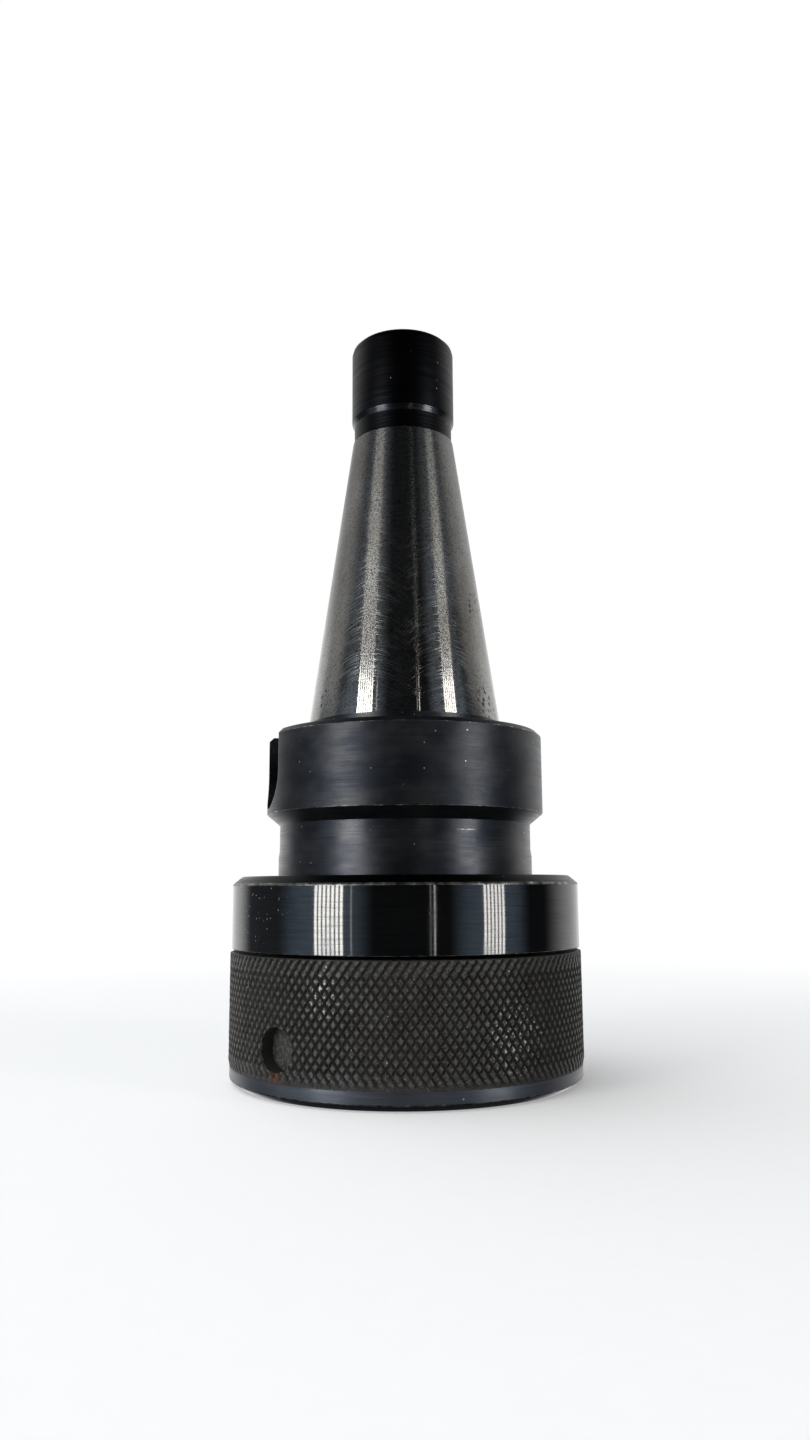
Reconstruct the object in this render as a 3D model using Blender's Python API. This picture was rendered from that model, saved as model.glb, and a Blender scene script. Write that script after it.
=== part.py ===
"""Collet chuck holder with a size 40 milling taper, standing nose down on its closing nut.

Metres, +Z up along the shank. The origin is the centre of the closing nut's front face, which is the
face that the holder stands on. Headings are degrees from -Y towards -X, seen from above.
"""

from math import atan2, cos, degrees, pi, radians, sin, tan

import bmesh
import bpy
from mathutils import Matrix, Vector

MM = 0.001

# Fits
MESH_GAP = 0.3 * MM
THREAD_GAP = 0.3 * MM
SLIDING_GAP = 0.35 * MM

# Collet
COLLET_BORE_DIAMETER = 31.75 * MM
COLLET_REAR_WALL = 2.524 * MM
COLLET_LENGTH = 51.8 * MM
COLLET_RECESS = 1.2 * MM
COLLET_CONE_ANGLE = 30.0
COLLET_CONE_LENGTH = 7.4 * MM
COLLET_BAND = 1.4 * MM
COLLET_GROOVE_DEPTH = 2.3 * MM
COLLET_GROOVE_WIDTH = 2.0 * MM
COLLET_SLOT_COUNT = 6
COLLET_SLOT_WIDTH = 1.2 * MM
COLLET_UNCUT_FRONT = 13.0 * MM
COLLET_UNCUT_REAR = 9.0 * MM

# Bores of the holder, front to rear
SEAT_ANGLE = 8.0
SEAT_BEYOND_COLLET = 2.0 * MM
CAVITY_DIAMETER = 34.0 * MM
CAVITY_LENGTH = 29.0 * MM
DRILL_POINT_ANGLE = 59.0
STOP_BORE_DIAMETER = 16.0 * MM
STOP_BORE_LENGTH = 22.0 * MM
DRAWBAR_BORE_DIAMETER = 13.7 * MM
COUNTERSINK_STEP = 1.2 * MM
COUNTERSINK_ANGLE = 30.0

# Nose thread, ground land and neck of the holder
NOSE_WALL = 4.575 * MM
NOSE_THREAD_PITCH = 25.4 / 12 * MM
THREAD_PITCH_LINE = 0.3248
THREAD_RELIEF_DEPTH = 0.9 * MM
THREAD_RELIEF_WIDTH = 2.4 * MM
NOSE_CHAMFER = 0.8 * MM
LAND_STEP = 0.425 * MM
LAND_ABOVE_COLLAR = 4.3 * MM
NECK_STEP = 0.23 * MM
NECK_LENGTH = 14.0 * MM
NECK_CHAMFER_HEIGHT = 2.5 * MM

# Drive flange and its two slots
FLANGE_DIAMETER = 63.5 * MM
FLANGE_WIDTH = 18.4 * MM
FLANGE_CHAMFER = 1.0 * MM
SLOT_WIDTH = 16.2 * MM
SLOT_LENGTH = 17.4 * MM
SLOT_FLOOR_STEP = 0.044 * MM
SLOT_HEADING = 75.6

# Shank: 7:24 taper, size 40
GAUGE_DIAMETER = 44.45 * MM
TAPER_RATIO = 7.0 / 24.0
TAPER_BELOW_GAUGE = 0.9 * MM
TAPER_LENGTH = 69.6 * MM
FLANGE_TO_TAPER = 2.5 * MM
TAIL_NECK_STEP = 0.326 * MM
TAIL_NECK_LENGTH = 4.5 * MM
PILOT_DIAMETER = 24.98 * MM
PILOT_LENGTH = 19.4 * MM
PILOT_LEAD = 1.2 * MM
PILOT_END_RADIUS = 1.9 * MM

# Ball row and nose ring
BALL_DIAMETER = 5.556 * MM
BALL_ROW_HEIGHT = 10.2 * MM
BALL_SPACING_GAP = 0.35 * MM
RING_WALL = 3.376 * MM
RING_RUNNING_GAP = 0.4 * MM
RING_RECESS = 0.6 * MM
RING_REAR_LAND = 0.922 * MM
RING_TO_NOSE = 1.1 * MM

# Closing nut
NUT_WALL = 5.222 * MM
NUT_WIDTH = 27.9 * MM
NUT_FRONT_CHAMFER_RADIAL = 2.1 * MM
NUT_FRONT_CHAMFER_HEIGHT = 1.3 * MM
NUT_PLAIN_BAND = 2.5 * MM
NUT_BORE_CHAMFER = 0.5 * MM
SPANNER_HOLE_DIAMETER = 8.8 * MM
SPANNER_HOLE_DEPTH = 3.1 * MM
SPANNER_HOLE_HEADING = 41.1
FILLER_HOLE_CLEARANCE = 0.65 * MM

# Diamond knurl, at nearly twice the real pitch
KNURL_COLUMNS = 68
KNURL_ROWS = 5
KNURL_CREST = 0.27 * MM
KNURL_VALLEY = 0.45 * MM
KNURL_RUN_OUT = 0.3 * MM

# Rear collar
COLLAR_WIDTH = 15.7 * MM
COLLAR_CHAMFER_RADIAL = 2.1 * MM
COLLAR_CHAMFER_HEIGHT = 1.7 * MM
SEAM_WIDTH = 0.6 * MM
SEAM_LIP = 0.2 * MM

# Stop screw
STOP_SCREW_LENGTH = 14.0 * MM
STOP_SCREW_CHAMFER = 1.0 * MM
STOP_SCREW_BORE = 4.0 * MM
STOP_SCREW_SOCKET = 8.0 * MM
STOP_SCREW_SOCKET_DEPTH = 6.0 * MM
STOP_SCREW_RECESS = 3.0 * MM

# Facets round each turned piece
BODY_FACETS = 52
COLLAR_FACETS = 56
RING_FACETS = 48
COLLET_FACETS = 48
SCREW_FACETS = 24
HOLE_FACETS = 20
GROOVE_FACETS = 6
END_ARC_FACETS = 2
SLOT_END_FACETS = 12
CUTTER_OVERSHOOT = 2.0 * MM

# Heights of the collet, the nose ring and the holder's nose
CONE_END = COLLET_RECESS + COLLET_CONE_LENGTH
COLLET_REAR = COLLET_RECESS + COLLET_LENGTH
COLLET_GROOVE_BOTTOM = CONE_END + COLLET_BAND
COLLET_GROOVE_TOP = COLLET_GROOVE_BOTTOM + COLLET_GROOVE_WIDTH
GROOVE_RADIUS = BALL_DIAMETER / 2 + MESH_GAP
RING_TOP = BALL_ROW_HEIGHT + GROOVE_RADIUS + RING_REAR_LAND
NOSE_FRONT = RING_TOP + RING_TO_NOSE

# The seat's mouth leaves the collet its wall at the narrow rear end
SEAT_SLOPE = tan(radians(SEAT_ANGLE))
SEAT_GAP = MESH_GAP / cos(radians(SEAT_ANGLE))
COLLET_REAR_RADIUS = COLLET_BORE_DIAMETER / 2 + COLLET_REAR_WALL
SEAT_MOUTH_RADIUS = COLLET_REAR_RADIUS + SEAT_GAP + (COLLET_REAR - NOSE_FRONT) * SEAT_SLOPE

# Radii that build up from the seat's mouth to the nut's rim
COLLET_GROOVE_RADIUS = SEAT_MOUTH_RADIUS - COLLET_GROOVE_DEPTH
CONE_GAP = MESH_GAP / cos(radians(COLLET_CONE_ANGLE))
RING_POCKET_RADIUS = SEAT_MOUTH_RADIUS + CONE_GAP
BALL_PITCH_RADIUS = RING_POCKET_RADIUS + RING_WALL + GROOVE_RADIUS
NUT_RADIUS = BALL_PITCH_RADIUS + GROOVE_RADIUS + NUT_WALL
RING_RADIUS = BALL_PITCH_RADIUS - RING_RUNNING_GAP / 2
NUT_BORE_RADIUS = BALL_PITCH_RADIUS + RING_RUNNING_GAP / 2
FILLER_HOLE_RADIUS = (BALL_DIAMETER + FILLER_HOLE_CLEARANCE) / 2

# Radii of the holder's nose and neck
NOSE_THREAD_RADIUS = SEAT_MOUTH_RADIUS + NOSE_WALL
THREAD_PITCH_RADIUS = NOSE_THREAD_RADIUS - THREAD_PITCH_LINE * NOSE_THREAD_PITCH
LAND_RADIUS = NOSE_THREAD_RADIUS + LAND_STEP
NECK_RADIUS = LAND_RADIUS - NECK_STEP

# Heights from the collet's rear end to the tail
SEAT_END = COLLET_REAR + SEAT_BEYOND_COLLET
CAVITY_END = SEAT_END + CAVITY_LENGTH
COLLAR_BOTTOM = NUT_WIDTH + SEAM_WIDTH
COLLAR_TOP = COLLAR_BOTTOM + COLLAR_WIDTH
FLANGE_BOTTOM = COLLAR_TOP + NECK_LENGTH
FLANGE_TOP = FLANGE_BOTTOM + FLANGE_WIDTH
TAPER_START = FLANGE_TOP + FLANGE_TO_TAPER
GAUGE_HEIGHT = TAPER_START + TAPER_BELOW_GAUGE
TAPER_END = TAPER_START + TAPER_LENGTH
TAIL_NECK_END = TAPER_END + TAIL_NECK_LENGTH
TAIL_TOP = TAIL_NECK_END + PILOT_LEAD + PILOT_LENGTH

# The drill point between the cavity and the stop screw's bore
DRILL_POINT_SLOPE = tan(radians(DRILL_POINT_ANGLE))
STOP_BORE_START = CAVITY_END + (CAVITY_DIAMETER - STOP_BORE_DIAMETER) / 2 / DRILL_POINT_SLOPE
STOP_BORE_END = STOP_BORE_START + STOP_BORE_LENGTH


def heading_vector(heading):
    """Level unit vector at a heading."""
    angle = radians(heading)
    return Vector((-sin(angle), -cos(angle), 0.0))


def seat_radius(height):
    """Radius of the 8 degree collet seat at a height."""
    return SEAT_MOUTH_RADIUS - (height - NOSE_FRONT) * SEAT_SLOPE


def cone_radius(height):
    """Radius of the collet's 30 degree front cone at a height."""
    return SEAT_MOUTH_RADIUS - (CONE_END - height) * tan(radians(COLLET_CONE_ANGLE))


def taper_radius(height):
    """Radius of the 7:24 shank taper at a height."""
    return GAUGE_DIAMETER / 2 - (height - GAUGE_HEIGHT) * TAPER_RATIO / 2


def clear_scene():
    for item in list(bpy.data.objects):
        bpy.data.objects.remove(item, do_unlink=True)


def make_material(name, colour, roughness, metallic):
    material = bpy.data.materials.new(name)
    material.use_nodes = True
    shader = material.node_tree.nodes["Principled BSDF"]
    shader.inputs["Base Color"].default_value = (*colour, 1.0)
    shader.inputs["Roughness"].default_value = roughness
    shader.inputs["Metallic"].default_value = metallic
    return material


def add_object(name, mesh, material=None):
    item = bpy.data.objects.new(name, mesh)
    bpy.context.collection.objects.link(item)
    if material is not None:
        mesh.materials.append(material)
    return item


def finish_mesh(name, builder):
    """Turns a bmesh into a smooth-shaded mesh with outward faces."""
    bmesh.ops.recalc_face_normals(builder, faces=builder.faces)
    mesh = bpy.data.meshes.new(name)
    builder.to_mesh(mesh)
    builder.free()
    mesh.shade_smooth()
    mesh.set_sharp_from_angle(angle=radians(30.0))
    return mesh


def add_ring(builder, radius, height, facets):
    """One ring of vertices round the Z axis."""
    turns = [2 * pi * index / facets for index in range(facets)]
    return [builder.verts.new((radius * cos(a), radius * sin(a), height)) for a in turns]


def bridge(builder, lower, upper):
    """Quads between two rings with the same number of vertices."""
    count = len(lower)
    for index in range(count):
        after = (index + 1) % count
        builder.faces.new((lower[index], lower[after], upper[after], upper[index]))


def turned_mesh(name, profile, facets):
    """Closed body of revolution from a closed loop of (radius, height) points."""
    builder = bmesh.new()
    rings = [add_ring(builder, radius, height, facets) for radius, height in profile]
    for ring, following in zip(rings, rings[1:] + rings[:1]):
        bridge(builder, ring, following)
    return finish_mesh(name, builder)


def section_arc(across, height, radius, start, end, facets):
    """Arc of a turned section round a centre, from one angle to another, in degrees from outward."""
    points = []
    for step in range(facets + 1):
        angle = radians(start + (end - start) * step / facets)
        points.append((across + radius * cos(angle), height + radius * sin(angle)))
    return points


def ball_groove(start, end):
    """Ball groove's section, the same in the nut and the nose ring."""
    return section_arc(BALL_PITCH_RADIUS, BALL_ROW_HEIGHT, GROOVE_RADIUS, start, end, GROOVE_FACETS)


def add_cutter(name, mesh):
    cutter = add_object(name, mesh)
    cutter.hide_render = True
    cutter.display_type = "WIRE"
    return cutter


def cut(item, cutter):
    """Live Boolean difference with the exact solver."""
    modifier = item.modifiers.new(cutter.name, "BOOLEAN")
    modifier.operation = "DIFFERENCE"
    modifier.solver = "EXACT"
    modifier.object = cutter


def prism_mesh(name, outline, inner, outer):
    """Prism from a loop of (across, height) points, standing off the axis along +X."""
    builder = bmesh.new()
    near = [builder.verts.new((inner, across, height)) for across, height in outline]
    far = [builder.verts.new((outer, across, height)) for across, height in outline]
    bridge(builder, near, far)
    builder.faces.new(near)
    builder.faces.new(list(reversed(far)))
    return finish_mesh(name, builder)


def rod_mesh(name, radius, inner, outer, facets):
    """Round rod along +X between two distances from the axis, centred on height zero."""
    turns = [2 * pi * index / facets for index in range(facets)]
    outline = [(radius * cos(angle), radius * sin(angle)) for angle in turns]
    return prism_mesh(name, outline, inner, outer)


def point_at(item, heading, height=0.0):
    """Turns an object that was made along +X to a heading, and lifts it."""
    aim = heading_vector(heading)
    item.rotation_euler = (0.0, 0.0, atan2(aim.y, aim.x))
    item.location = (0.0, 0.0, height)


def shank_profile():
    """Outside of the holder from its nose to its tail, then down the bores."""
    land_top = COLLAR_TOP + LAND_ABOVE_COLLAR
    relief_top = COLLAR_BOTTOM - SEAM_WIDTH
    relief_bottom = relief_top - THREAD_RELIEF_WIDTH
    thread_radius = THREAD_PITCH_RADIUS - THREAD_GAP / 2
    relief_radius = thread_radius - THREAD_RELIEF_DEPTH
    flange_radius = FLANGE_DIAMETER / 2
    tail_neck_radius = taper_radius(TAPER_END) - TAIL_NECK_STEP
    pilot_radius = PILOT_DIAMETER / 2
    end_radius = pilot_radius - PILOT_END_RADIUS
    end_height = TAIL_TOP - PILOT_END_RADIUS
    outside = [
        (thread_radius - NOSE_CHAMFER, NOSE_FRONT),
        (thread_radius, NOSE_FRONT + NOSE_CHAMFER),
        (thread_radius, relief_bottom),
        (relief_radius, relief_bottom + THREAD_RELIEF_DEPTH),
        (relief_radius, relief_top),
        (LAND_RADIUS, relief_top),
        (LAND_RADIUS, land_top),
        (NECK_RADIUS, land_top + NECK_STEP),
        (NECK_RADIUS, FLANGE_BOTTOM - NECK_CHAMFER_HEIGHT),
        (flange_radius, FLANGE_BOTTOM),
        (flange_radius, FLANGE_TOP - FLANGE_CHAMFER),
        (flange_radius - FLANGE_CHAMFER, FLANGE_TOP),
        (taper_radius(TAPER_START), FLANGE_TOP),
        (taper_radius(TAPER_START), TAPER_START),
        (taper_radius(TAPER_END), TAPER_END),
        (tail_neck_radius, TAPER_END),
        (tail_neck_radius, TAIL_NECK_END),
        (pilot_radius, TAIL_NECK_END + PILOT_LEAD),
        *section_arc(end_radius, end_height, PILOT_END_RADIUS, 0.0, 90.0, END_ARC_FACETS),
    ]
    drawbar_radius = DRAWBAR_BORE_DIAMETER / 2
    stop_radius = STOP_BORE_DIAMETER / 2
    cavity_radius = CAVITY_DIAMETER / 2
    countersink_depth = COUNTERSINK_STEP / tan(radians(COUNTERSINK_ANGLE))
    inside = [
        (drawbar_radius + COUNTERSINK_STEP, TAIL_TOP),
        (drawbar_radius, TAIL_TOP - countersink_depth),
        (drawbar_radius, STOP_BORE_END + (stop_radius - drawbar_radius) / DRILL_POINT_SLOPE),
        (stop_radius, STOP_BORE_END),
        (stop_radius, STOP_BORE_START),
        (cavity_radius, CAVITY_END),
        (cavity_radius, SEAT_END),
        (seat_radius(SEAT_END), SEAT_END),
        (seat_radius(NOSE_FRONT), NOSE_FRONT),
    ]
    return outside + inside


def slot_outline():
    """Drive slot from its half-round lower end to past the flange's rear face."""
    radius = SLOT_WIDTH / 2
    centre = FLANGE_TOP - SLOT_LENGTH + radius
    outline = []
    for step in range(SLOT_END_FACETS + 1):
        angle = pi + pi * step / SLOT_END_FACETS
        outline.append((radius * cos(angle), centre + radius * sin(angle)))
    top = FLANGE_TOP + CUTTER_OVERSHOOT
    return outline + [(radius, top), (-radius, top)]


def make_holder_body(material):
    body = add_object("holder_body", turned_mesh("holder_body", shank_profile(), BODY_FACETS), material)
    floor = taper_radius(TAPER_START) + SLOT_FLOOR_STEP
    outer = FLANGE_DIAMETER / 2 + CUTTER_OVERSHOOT
    for side, turn in (("a", 0.0), ("b", 180.0)):
        name = "drive_slot_cutter_" + side
        cutter = add_cutter(name, prism_mesh(name, slot_outline(), floor, outer))
        point_at(cutter, SLOT_HEADING + turn)
        cut(body, cutter)
    return body


def make_rear_collar(material):
    bore = LAND_RADIUS + MESH_GAP
    profile = [
        (bore, COLLAR_BOTTOM),
        (NUT_RADIUS - SEAM_LIP, COLLAR_BOTTOM),
        (NUT_RADIUS, COLLAR_BOTTOM + SEAM_LIP),
        (NUT_RADIUS, COLLAR_TOP - COLLAR_CHAMFER_HEIGHT),
        (NUT_RADIUS - COLLAR_CHAMFER_RADIAL, COLLAR_TOP),
        (bore, COLLAR_TOP),
    ]
    return add_object("rear_collar", turned_mesh("rear_collar", profile, COLLAR_FACETS), material)


def knurl_band(builder, bottom, top):
    """Diamond knurl as a field of four-sided pyramids. Returns its lowest and highest ring."""
    steps = 2 * KNURL_ROWS
    rise = (top - bottom) / steps
    half = pi / KNURL_COLUMNS
    valley = NUT_RADIUS - KNURL_VALLEY
    crest = NUT_RADIUS + KNURL_CREST

    def point(radius, column_halves, height):
        angle = column_halves * half
        return builder.verts.new((radius * cos(angle), radius * sin(angle), height))

    rows = []
    for step in range(steps + 1):
        height = bottom + step * rise
        shift = step % 2
        rows.append([point(valley, 2 * column + shift, height) for column in range(KNURL_COLUMNS)])
    for step in range(1, steps):
        shift = step % 2
        for column in range(KNURL_COLUMNS):
            left = rows[step][column]
            right = rows[step][(column + 1) % KNURL_COLUMNS]
            below = rows[step - 1][(column + shift) % KNURL_COLUMNS]
            above = rows[step + 1][(column + shift) % KNURL_COLUMNS]
            peak = point(crest, 2 * column + shift + 1, bottom + step * rise)
            for start, end in ((left, below), (below, right), (right, above), (above, left)):
                builder.faces.new((start, end, peak))
    for column in range(KNURL_COLUMNS):
        after = (column + 1) % KNURL_COLUMNS
        builder.faces.new((rows[0][column], rows[0][after], rows[1][column]))
        builder.faces.new((rows[-1][column], rows[-2][column], rows[-1][after]))
    return rows[0], rows[-1]


def closing_nut_mesh():
    """Nut turned round its section, with the knurl between the plain band and the rear lip."""
    band_top = NUT_FRONT_CHAMFER_HEIGHT + NUT_PLAIN_BAND
    lift = degrees(atan2(RING_RUNNING_GAP / 2, GROOVE_RADIUS))
    thread_bore = THREAD_PITCH_RADIUS + THREAD_GAP / 2
    shoulder = RING_TOP + MESH_GAP
    section = [
        (NUT_RADIUS - SEAM_LIP - KNURL_VALLEY, NUT_WIDTH),
        (thread_bore + NOSE_CHAMFER, NUT_WIDTH),
        (thread_bore, NUT_WIDTH - NOSE_CHAMFER),
        (thread_bore, shoulder),
        (NUT_BORE_RADIUS, shoulder),
        *ball_groove(90.0 - lift, lift - 90.0),
        (NUT_BORE_RADIUS, NUT_BORE_CHAMFER),
        (NUT_BORE_RADIUS + NUT_BORE_CHAMFER, 0.0),
        (NUT_RADIUS - NUT_FRONT_CHAMFER_RADIAL, 0.0),
        (NUT_RADIUS, NUT_FRONT_CHAMFER_HEIGHT),
        (NUT_RADIUS, band_top),
    ]
    builder = bmesh.new()
    lowest, highest = knurl_band(builder, band_top + KNURL_RUN_OUT, NUT_WIDTH - SEAM_LIP)
    rings = [add_ring(builder, radius, height, KNURL_COLUMNS) for radius, height in section]
    rings = [highest, *rings, lowest]
    for ring, following in zip(rings, rings[1:]):
        bridge(builder, ring, following)
    return finish_mesh("closing_nut", builder)


def make_closing_nut(material):
    """Knurled nut with a blind spanner hole each side. The far one opens into the filler hole."""
    nut = add_object("closing_nut", closing_nut_mesh(), material)
    floor = NUT_RADIUS - SPANNER_HOLE_DEPTH
    reach = NUT_RADIUS + CUTTER_OVERSHOOT
    spanner_radius = SPANNER_HOLE_DIAMETER / 2
    holes = {
        "spanner_hole_cutter_near": (SPANNER_HOLE_HEADING, spanner_radius, floor),
        "spanner_hole_cutter_far": (SPANNER_HOLE_HEADING + 180.0, spanner_radius, floor),
        "filler_hole_cutter": (SPANNER_HOLE_HEADING + 180.0, FILLER_HOLE_RADIUS, BALL_PITCH_RADIUS),
    }
    for name, (heading, radius, inner) in holes.items():
        cutter = add_cutter(name, rod_mesh(name, radius, inner, reach, HOLE_FACETS))
        point_at(cutter, heading, BALL_ROW_HEIGHT)
        cut(nut, cutter)
    return nut


def make_filler_plug(material):
    """Plug from the ball groove to the floor of the far spanner hole."""
    inner = BALL_PITCH_RADIUS + GROOVE_RADIUS
    outer = NUT_RADIUS - SPANNER_HOLE_DEPTH
    mesh = rod_mesh("filler_plug", FILLER_HOLE_RADIUS - MESH_GAP, inner, outer, HOLE_FACETS)
    plug = add_object("filler_plug", mesh, material)
    point_at(plug, SPANNER_HOLE_HEADING + 180.0, BALL_ROW_HEIGHT)
    return plug


def make_nose_ring(material):
    """Ring with the cone that pushes the collet, the lip that draws it out and the ball groove."""
    lift = degrees(atan2(RING_RUNNING_GAP / 2, GROOVE_RADIUS))
    lip_bottom = COLLET_GROOVE_BOTTOM + SLIDING_GAP
    lip_top = COLLET_GROOVE_TOP - SLIDING_GAP
    lip_radius = COLLET_GROOVE_RADIUS + 2 * SLIDING_GAP
    relief = seat_radius(lip_top) + SLIDING_GAP
    profile = [
        (cone_radius(RING_RECESS) + CONE_GAP, RING_RECESS),
        (RING_RADIUS, RING_RECESS),
        *ball_groove(270.0 - lift, 90.0 + lift),
        (RING_RADIUS, RING_TOP),
        (relief, RING_TOP),
        (relief, lip_top),
        (lip_radius, lip_top),
        (lip_radius, lip_bottom),
        (RING_POCKET_RADIUS, lip_bottom),
        (RING_POCKET_RADIUS, CONE_END),
    ]
    return add_object("nose_ring", turned_mesh("nose_ring", profile, RING_FACETS), material)


def collet_profile():
    bore_radius = COLLET_BORE_DIAMETER / 2
    seat_start = COLLET_GROOVE_TOP + SLIDING_GAP
    return [
        (bore_radius, COLLET_RECESS),
        (cone_radius(COLLET_RECESS), COLLET_RECESS),
        (cone_radius(CONE_END), CONE_END),
        (cone_radius(CONE_END), COLLET_GROOVE_BOTTOM),
        (COLLET_GROOVE_RADIUS, COLLET_GROOVE_BOTTOM),
        (COLLET_GROOVE_RADIUS, COLLET_GROOVE_TOP),
        (seat_radius(seat_start) - SEAT_GAP, seat_start),
        (COLLET_REAR_RADIUS, COLLET_REAR),
        (bore_radius, COLLET_REAR),
    ]


def slot_blades_mesh(name, bottom, top, first_turn):
    """Ring of thin upright blades that saw the collet's slots."""
    inner = COLLET_BORE_DIAMETER / 2 - CUTTER_OVERSHOOT
    outer = SEAT_MOUTH_RADIUS + CUTTER_OVERSHOOT
    size = Vector((outer - inner, COLLET_SLOT_WIDTH, top - bottom))
    middle = Vector(((inner + outer) / 2, 0.0, (bottom + top) / 2))
    builder = bmesh.new()
    for index in range(COLLET_SLOT_COUNT):
        turn = first_turn + 2 * pi * index / COLLET_SLOT_COUNT
        place = Matrix.Rotation(turn, 4, "Z") @ Matrix.Translation(middle)
        bmesh.ops.create_cube(builder, size=1.0, matrix=place @ Matrix.Diagonal((*size, 1.0)))
    return finish_mesh(name, builder)


def make_collet(material):
    """Spring collet, slotted from both ends in turn so that it closes evenly along its length."""
    collet = add_object("collet", turned_mesh("collet", collet_profile(), COLLET_FACETS), material)
    turn = pi / COLLET_FACETS
    between = pi / COLLET_SLOT_COUNT
    front_span = (COLLET_RECESS - CUTTER_OVERSHOOT, COLLET_REAR - COLLET_UNCUT_REAR)
    rear_span = (COLLET_RECESS + COLLET_UNCUT_FRONT, COLLET_REAR + CUTTER_OVERSHOOT)
    spans = {
        "front_slot_cutter": (*front_span, turn),
        "rear_slot_cutter": (*rear_span, turn + between),
    }
    for name, (bottom, top, first_turn) in spans.items():
        cut(collet, add_cutter(name, slot_blades_mesh(name, bottom, top, first_turn)))
    return collet


def make_stop_screw(material):
    """Headless screw with a hexagon socket that faces the cutter shank."""
    radius = STOP_BORE_DIAMETER / 2 - THREAD_GAP
    bottom = STOP_BORE_START + STOP_SCREW_RECESS
    top = bottom + STOP_SCREW_LENGTH
    through = STOP_SCREW_BORE / 2
    profile = [
        (through, bottom),
        (radius - STOP_SCREW_CHAMFER, bottom),
        (radius, bottom + STOP_SCREW_CHAMFER),
        (radius, top - STOP_SCREW_CHAMFER),
        (radius - STOP_SCREW_CHAMFER, top),
        (through, top),
    ]
    screw = add_object("stop_screw", turned_mesh("stop_screw", profile, SCREW_FACETS), material)
    builder = bmesh.new()
    corner = STOP_SCREW_SOCKET / 2 / cos(radians(30.0))
    low = bottom - CUTTER_OVERSHOOT
    high = bottom + STOP_SCREW_SOCKET_DEPTH
    bmesh.ops.create_cone(
        builder,
        cap_ends=True,
        segments=6,
        radius1=corner,
        radius2=corner,
        depth=high - low,
        matrix=Matrix.Translation((0.0, 0.0, (low + high) / 2)),
    )
    cut(screw, add_cutter("socket_cutter", finish_mesh("socket_cutter", builder)))
    return screw


def make_ball_row(material):
    """Full row of balls, all children of one empty on the axis."""
    carrier = bpy.data.objects.new("ball_row", None)
    bpy.context.collection.objects.link(carrier)
    carrier.location = (0.0, 0.0, BALL_ROW_HEIGHT)
    count = int(2 * pi * BALL_PITCH_RADIUS / (BALL_DIAMETER + BALL_SPACING_GAP))
    builder = bmesh.new()
    bmesh.ops.create_icosphere(builder, subdivisions=2, radius=BALL_DIAMETER / 2)
    mesh = finish_mesh("ball", builder)
    mesh.materials.append(material)
    for index in range(count):
        turn = 2 * pi * index / count
        ball = add_object(f"ball_{index + 1:02d}", mesh)
        ball.parent = carrier
        ball.location = (BALL_PITCH_RADIUS * cos(turn), BALL_PITCH_RADIUS * sin(turn), 0.0)
        ball.rotation_euler = (0.0, 0.0, turn)


def main():
    clear_scene()
    oxide_steel = make_material("oxide_steel", (0.018, 0.018, 0.020), 0.45, 0.85)
    polished_oxide = make_material("polished_oxide", (0.022, 0.025, 0.032), 0.18, 0.95)
    knurled_oxide = make_material("knurled_oxide", (0.030, 0.030, 0.032), 0.50, 0.85)
    hardened_steel = make_material("hardened_steel", (0.34, 0.34, 0.35), 0.30, 1.0)
    ball_steel = make_material("ball_steel", (0.60, 0.60, 0.61), 0.10, 1.0)
    make_holder_body(oxide_steel)
    make_rear_collar(polished_oxide)
    make_stop_screw(oxide_steel)
    make_collet(hardened_steel)
    make_nose_ring(hardened_steel)
    make_closing_nut(knurled_oxide)
    make_filler_plug(hardened_steel)
    make_ball_row(ball_steel)


main()
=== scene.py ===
"""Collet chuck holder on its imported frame: black oxide steel, a ground taper and a knurled nut.

Metres, +Z up. The origin is the centre of the closing nut's front face. Run as a script, it registers its
operators and calls them in order.
"""

from math import atan2, cos, degrees, pi, radians, sin, tan
from random import Random

import bmesh
import bpy
from bpy.props import FloatProperty, FloatVectorProperty, IntProperty, PointerProperty
from bpy.types import Operator, Panel, PropertyGroup
from mathutils import Matrix, Vector


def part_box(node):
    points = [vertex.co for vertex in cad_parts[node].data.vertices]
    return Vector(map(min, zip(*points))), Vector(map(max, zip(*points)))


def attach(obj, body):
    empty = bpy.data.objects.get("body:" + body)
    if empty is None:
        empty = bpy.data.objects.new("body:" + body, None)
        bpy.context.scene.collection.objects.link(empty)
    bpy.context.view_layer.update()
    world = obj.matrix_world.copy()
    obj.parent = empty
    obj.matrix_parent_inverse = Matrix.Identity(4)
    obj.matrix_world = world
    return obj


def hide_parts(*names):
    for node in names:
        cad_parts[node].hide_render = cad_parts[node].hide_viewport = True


bl_info = {
    "name": "Collet Chuck Holder",
    "version": (1, 0, 0),
    "blender": (4, 5, 0),
    "location": "3D View > Sidebar > Collet Chuck",
    "description": "Builds the dressed pieces of a collet chuck holder and the stage that it stands on",
    "category": "Object",
}

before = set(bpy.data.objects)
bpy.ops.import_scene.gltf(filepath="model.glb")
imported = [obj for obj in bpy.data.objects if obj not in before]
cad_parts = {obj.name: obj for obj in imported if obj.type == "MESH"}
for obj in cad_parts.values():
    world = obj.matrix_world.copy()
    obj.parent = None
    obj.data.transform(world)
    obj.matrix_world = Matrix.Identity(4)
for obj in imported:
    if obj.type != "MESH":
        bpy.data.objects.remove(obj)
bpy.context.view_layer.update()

MM = 0.001
NUT_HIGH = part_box("closing_nut")[1]
COLLAR_LOW, COLLAR_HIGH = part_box("rear_collar")
BODY_LOW, BODY_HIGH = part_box("holder_body")
COLLET_LOW, COLLET_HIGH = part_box("collet")
RING_LOW, RING_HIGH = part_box("nose_ring")

# The taper narrows by 7 in 24 on its diameter
TAPER_SLOPE = 7 / 48
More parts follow.
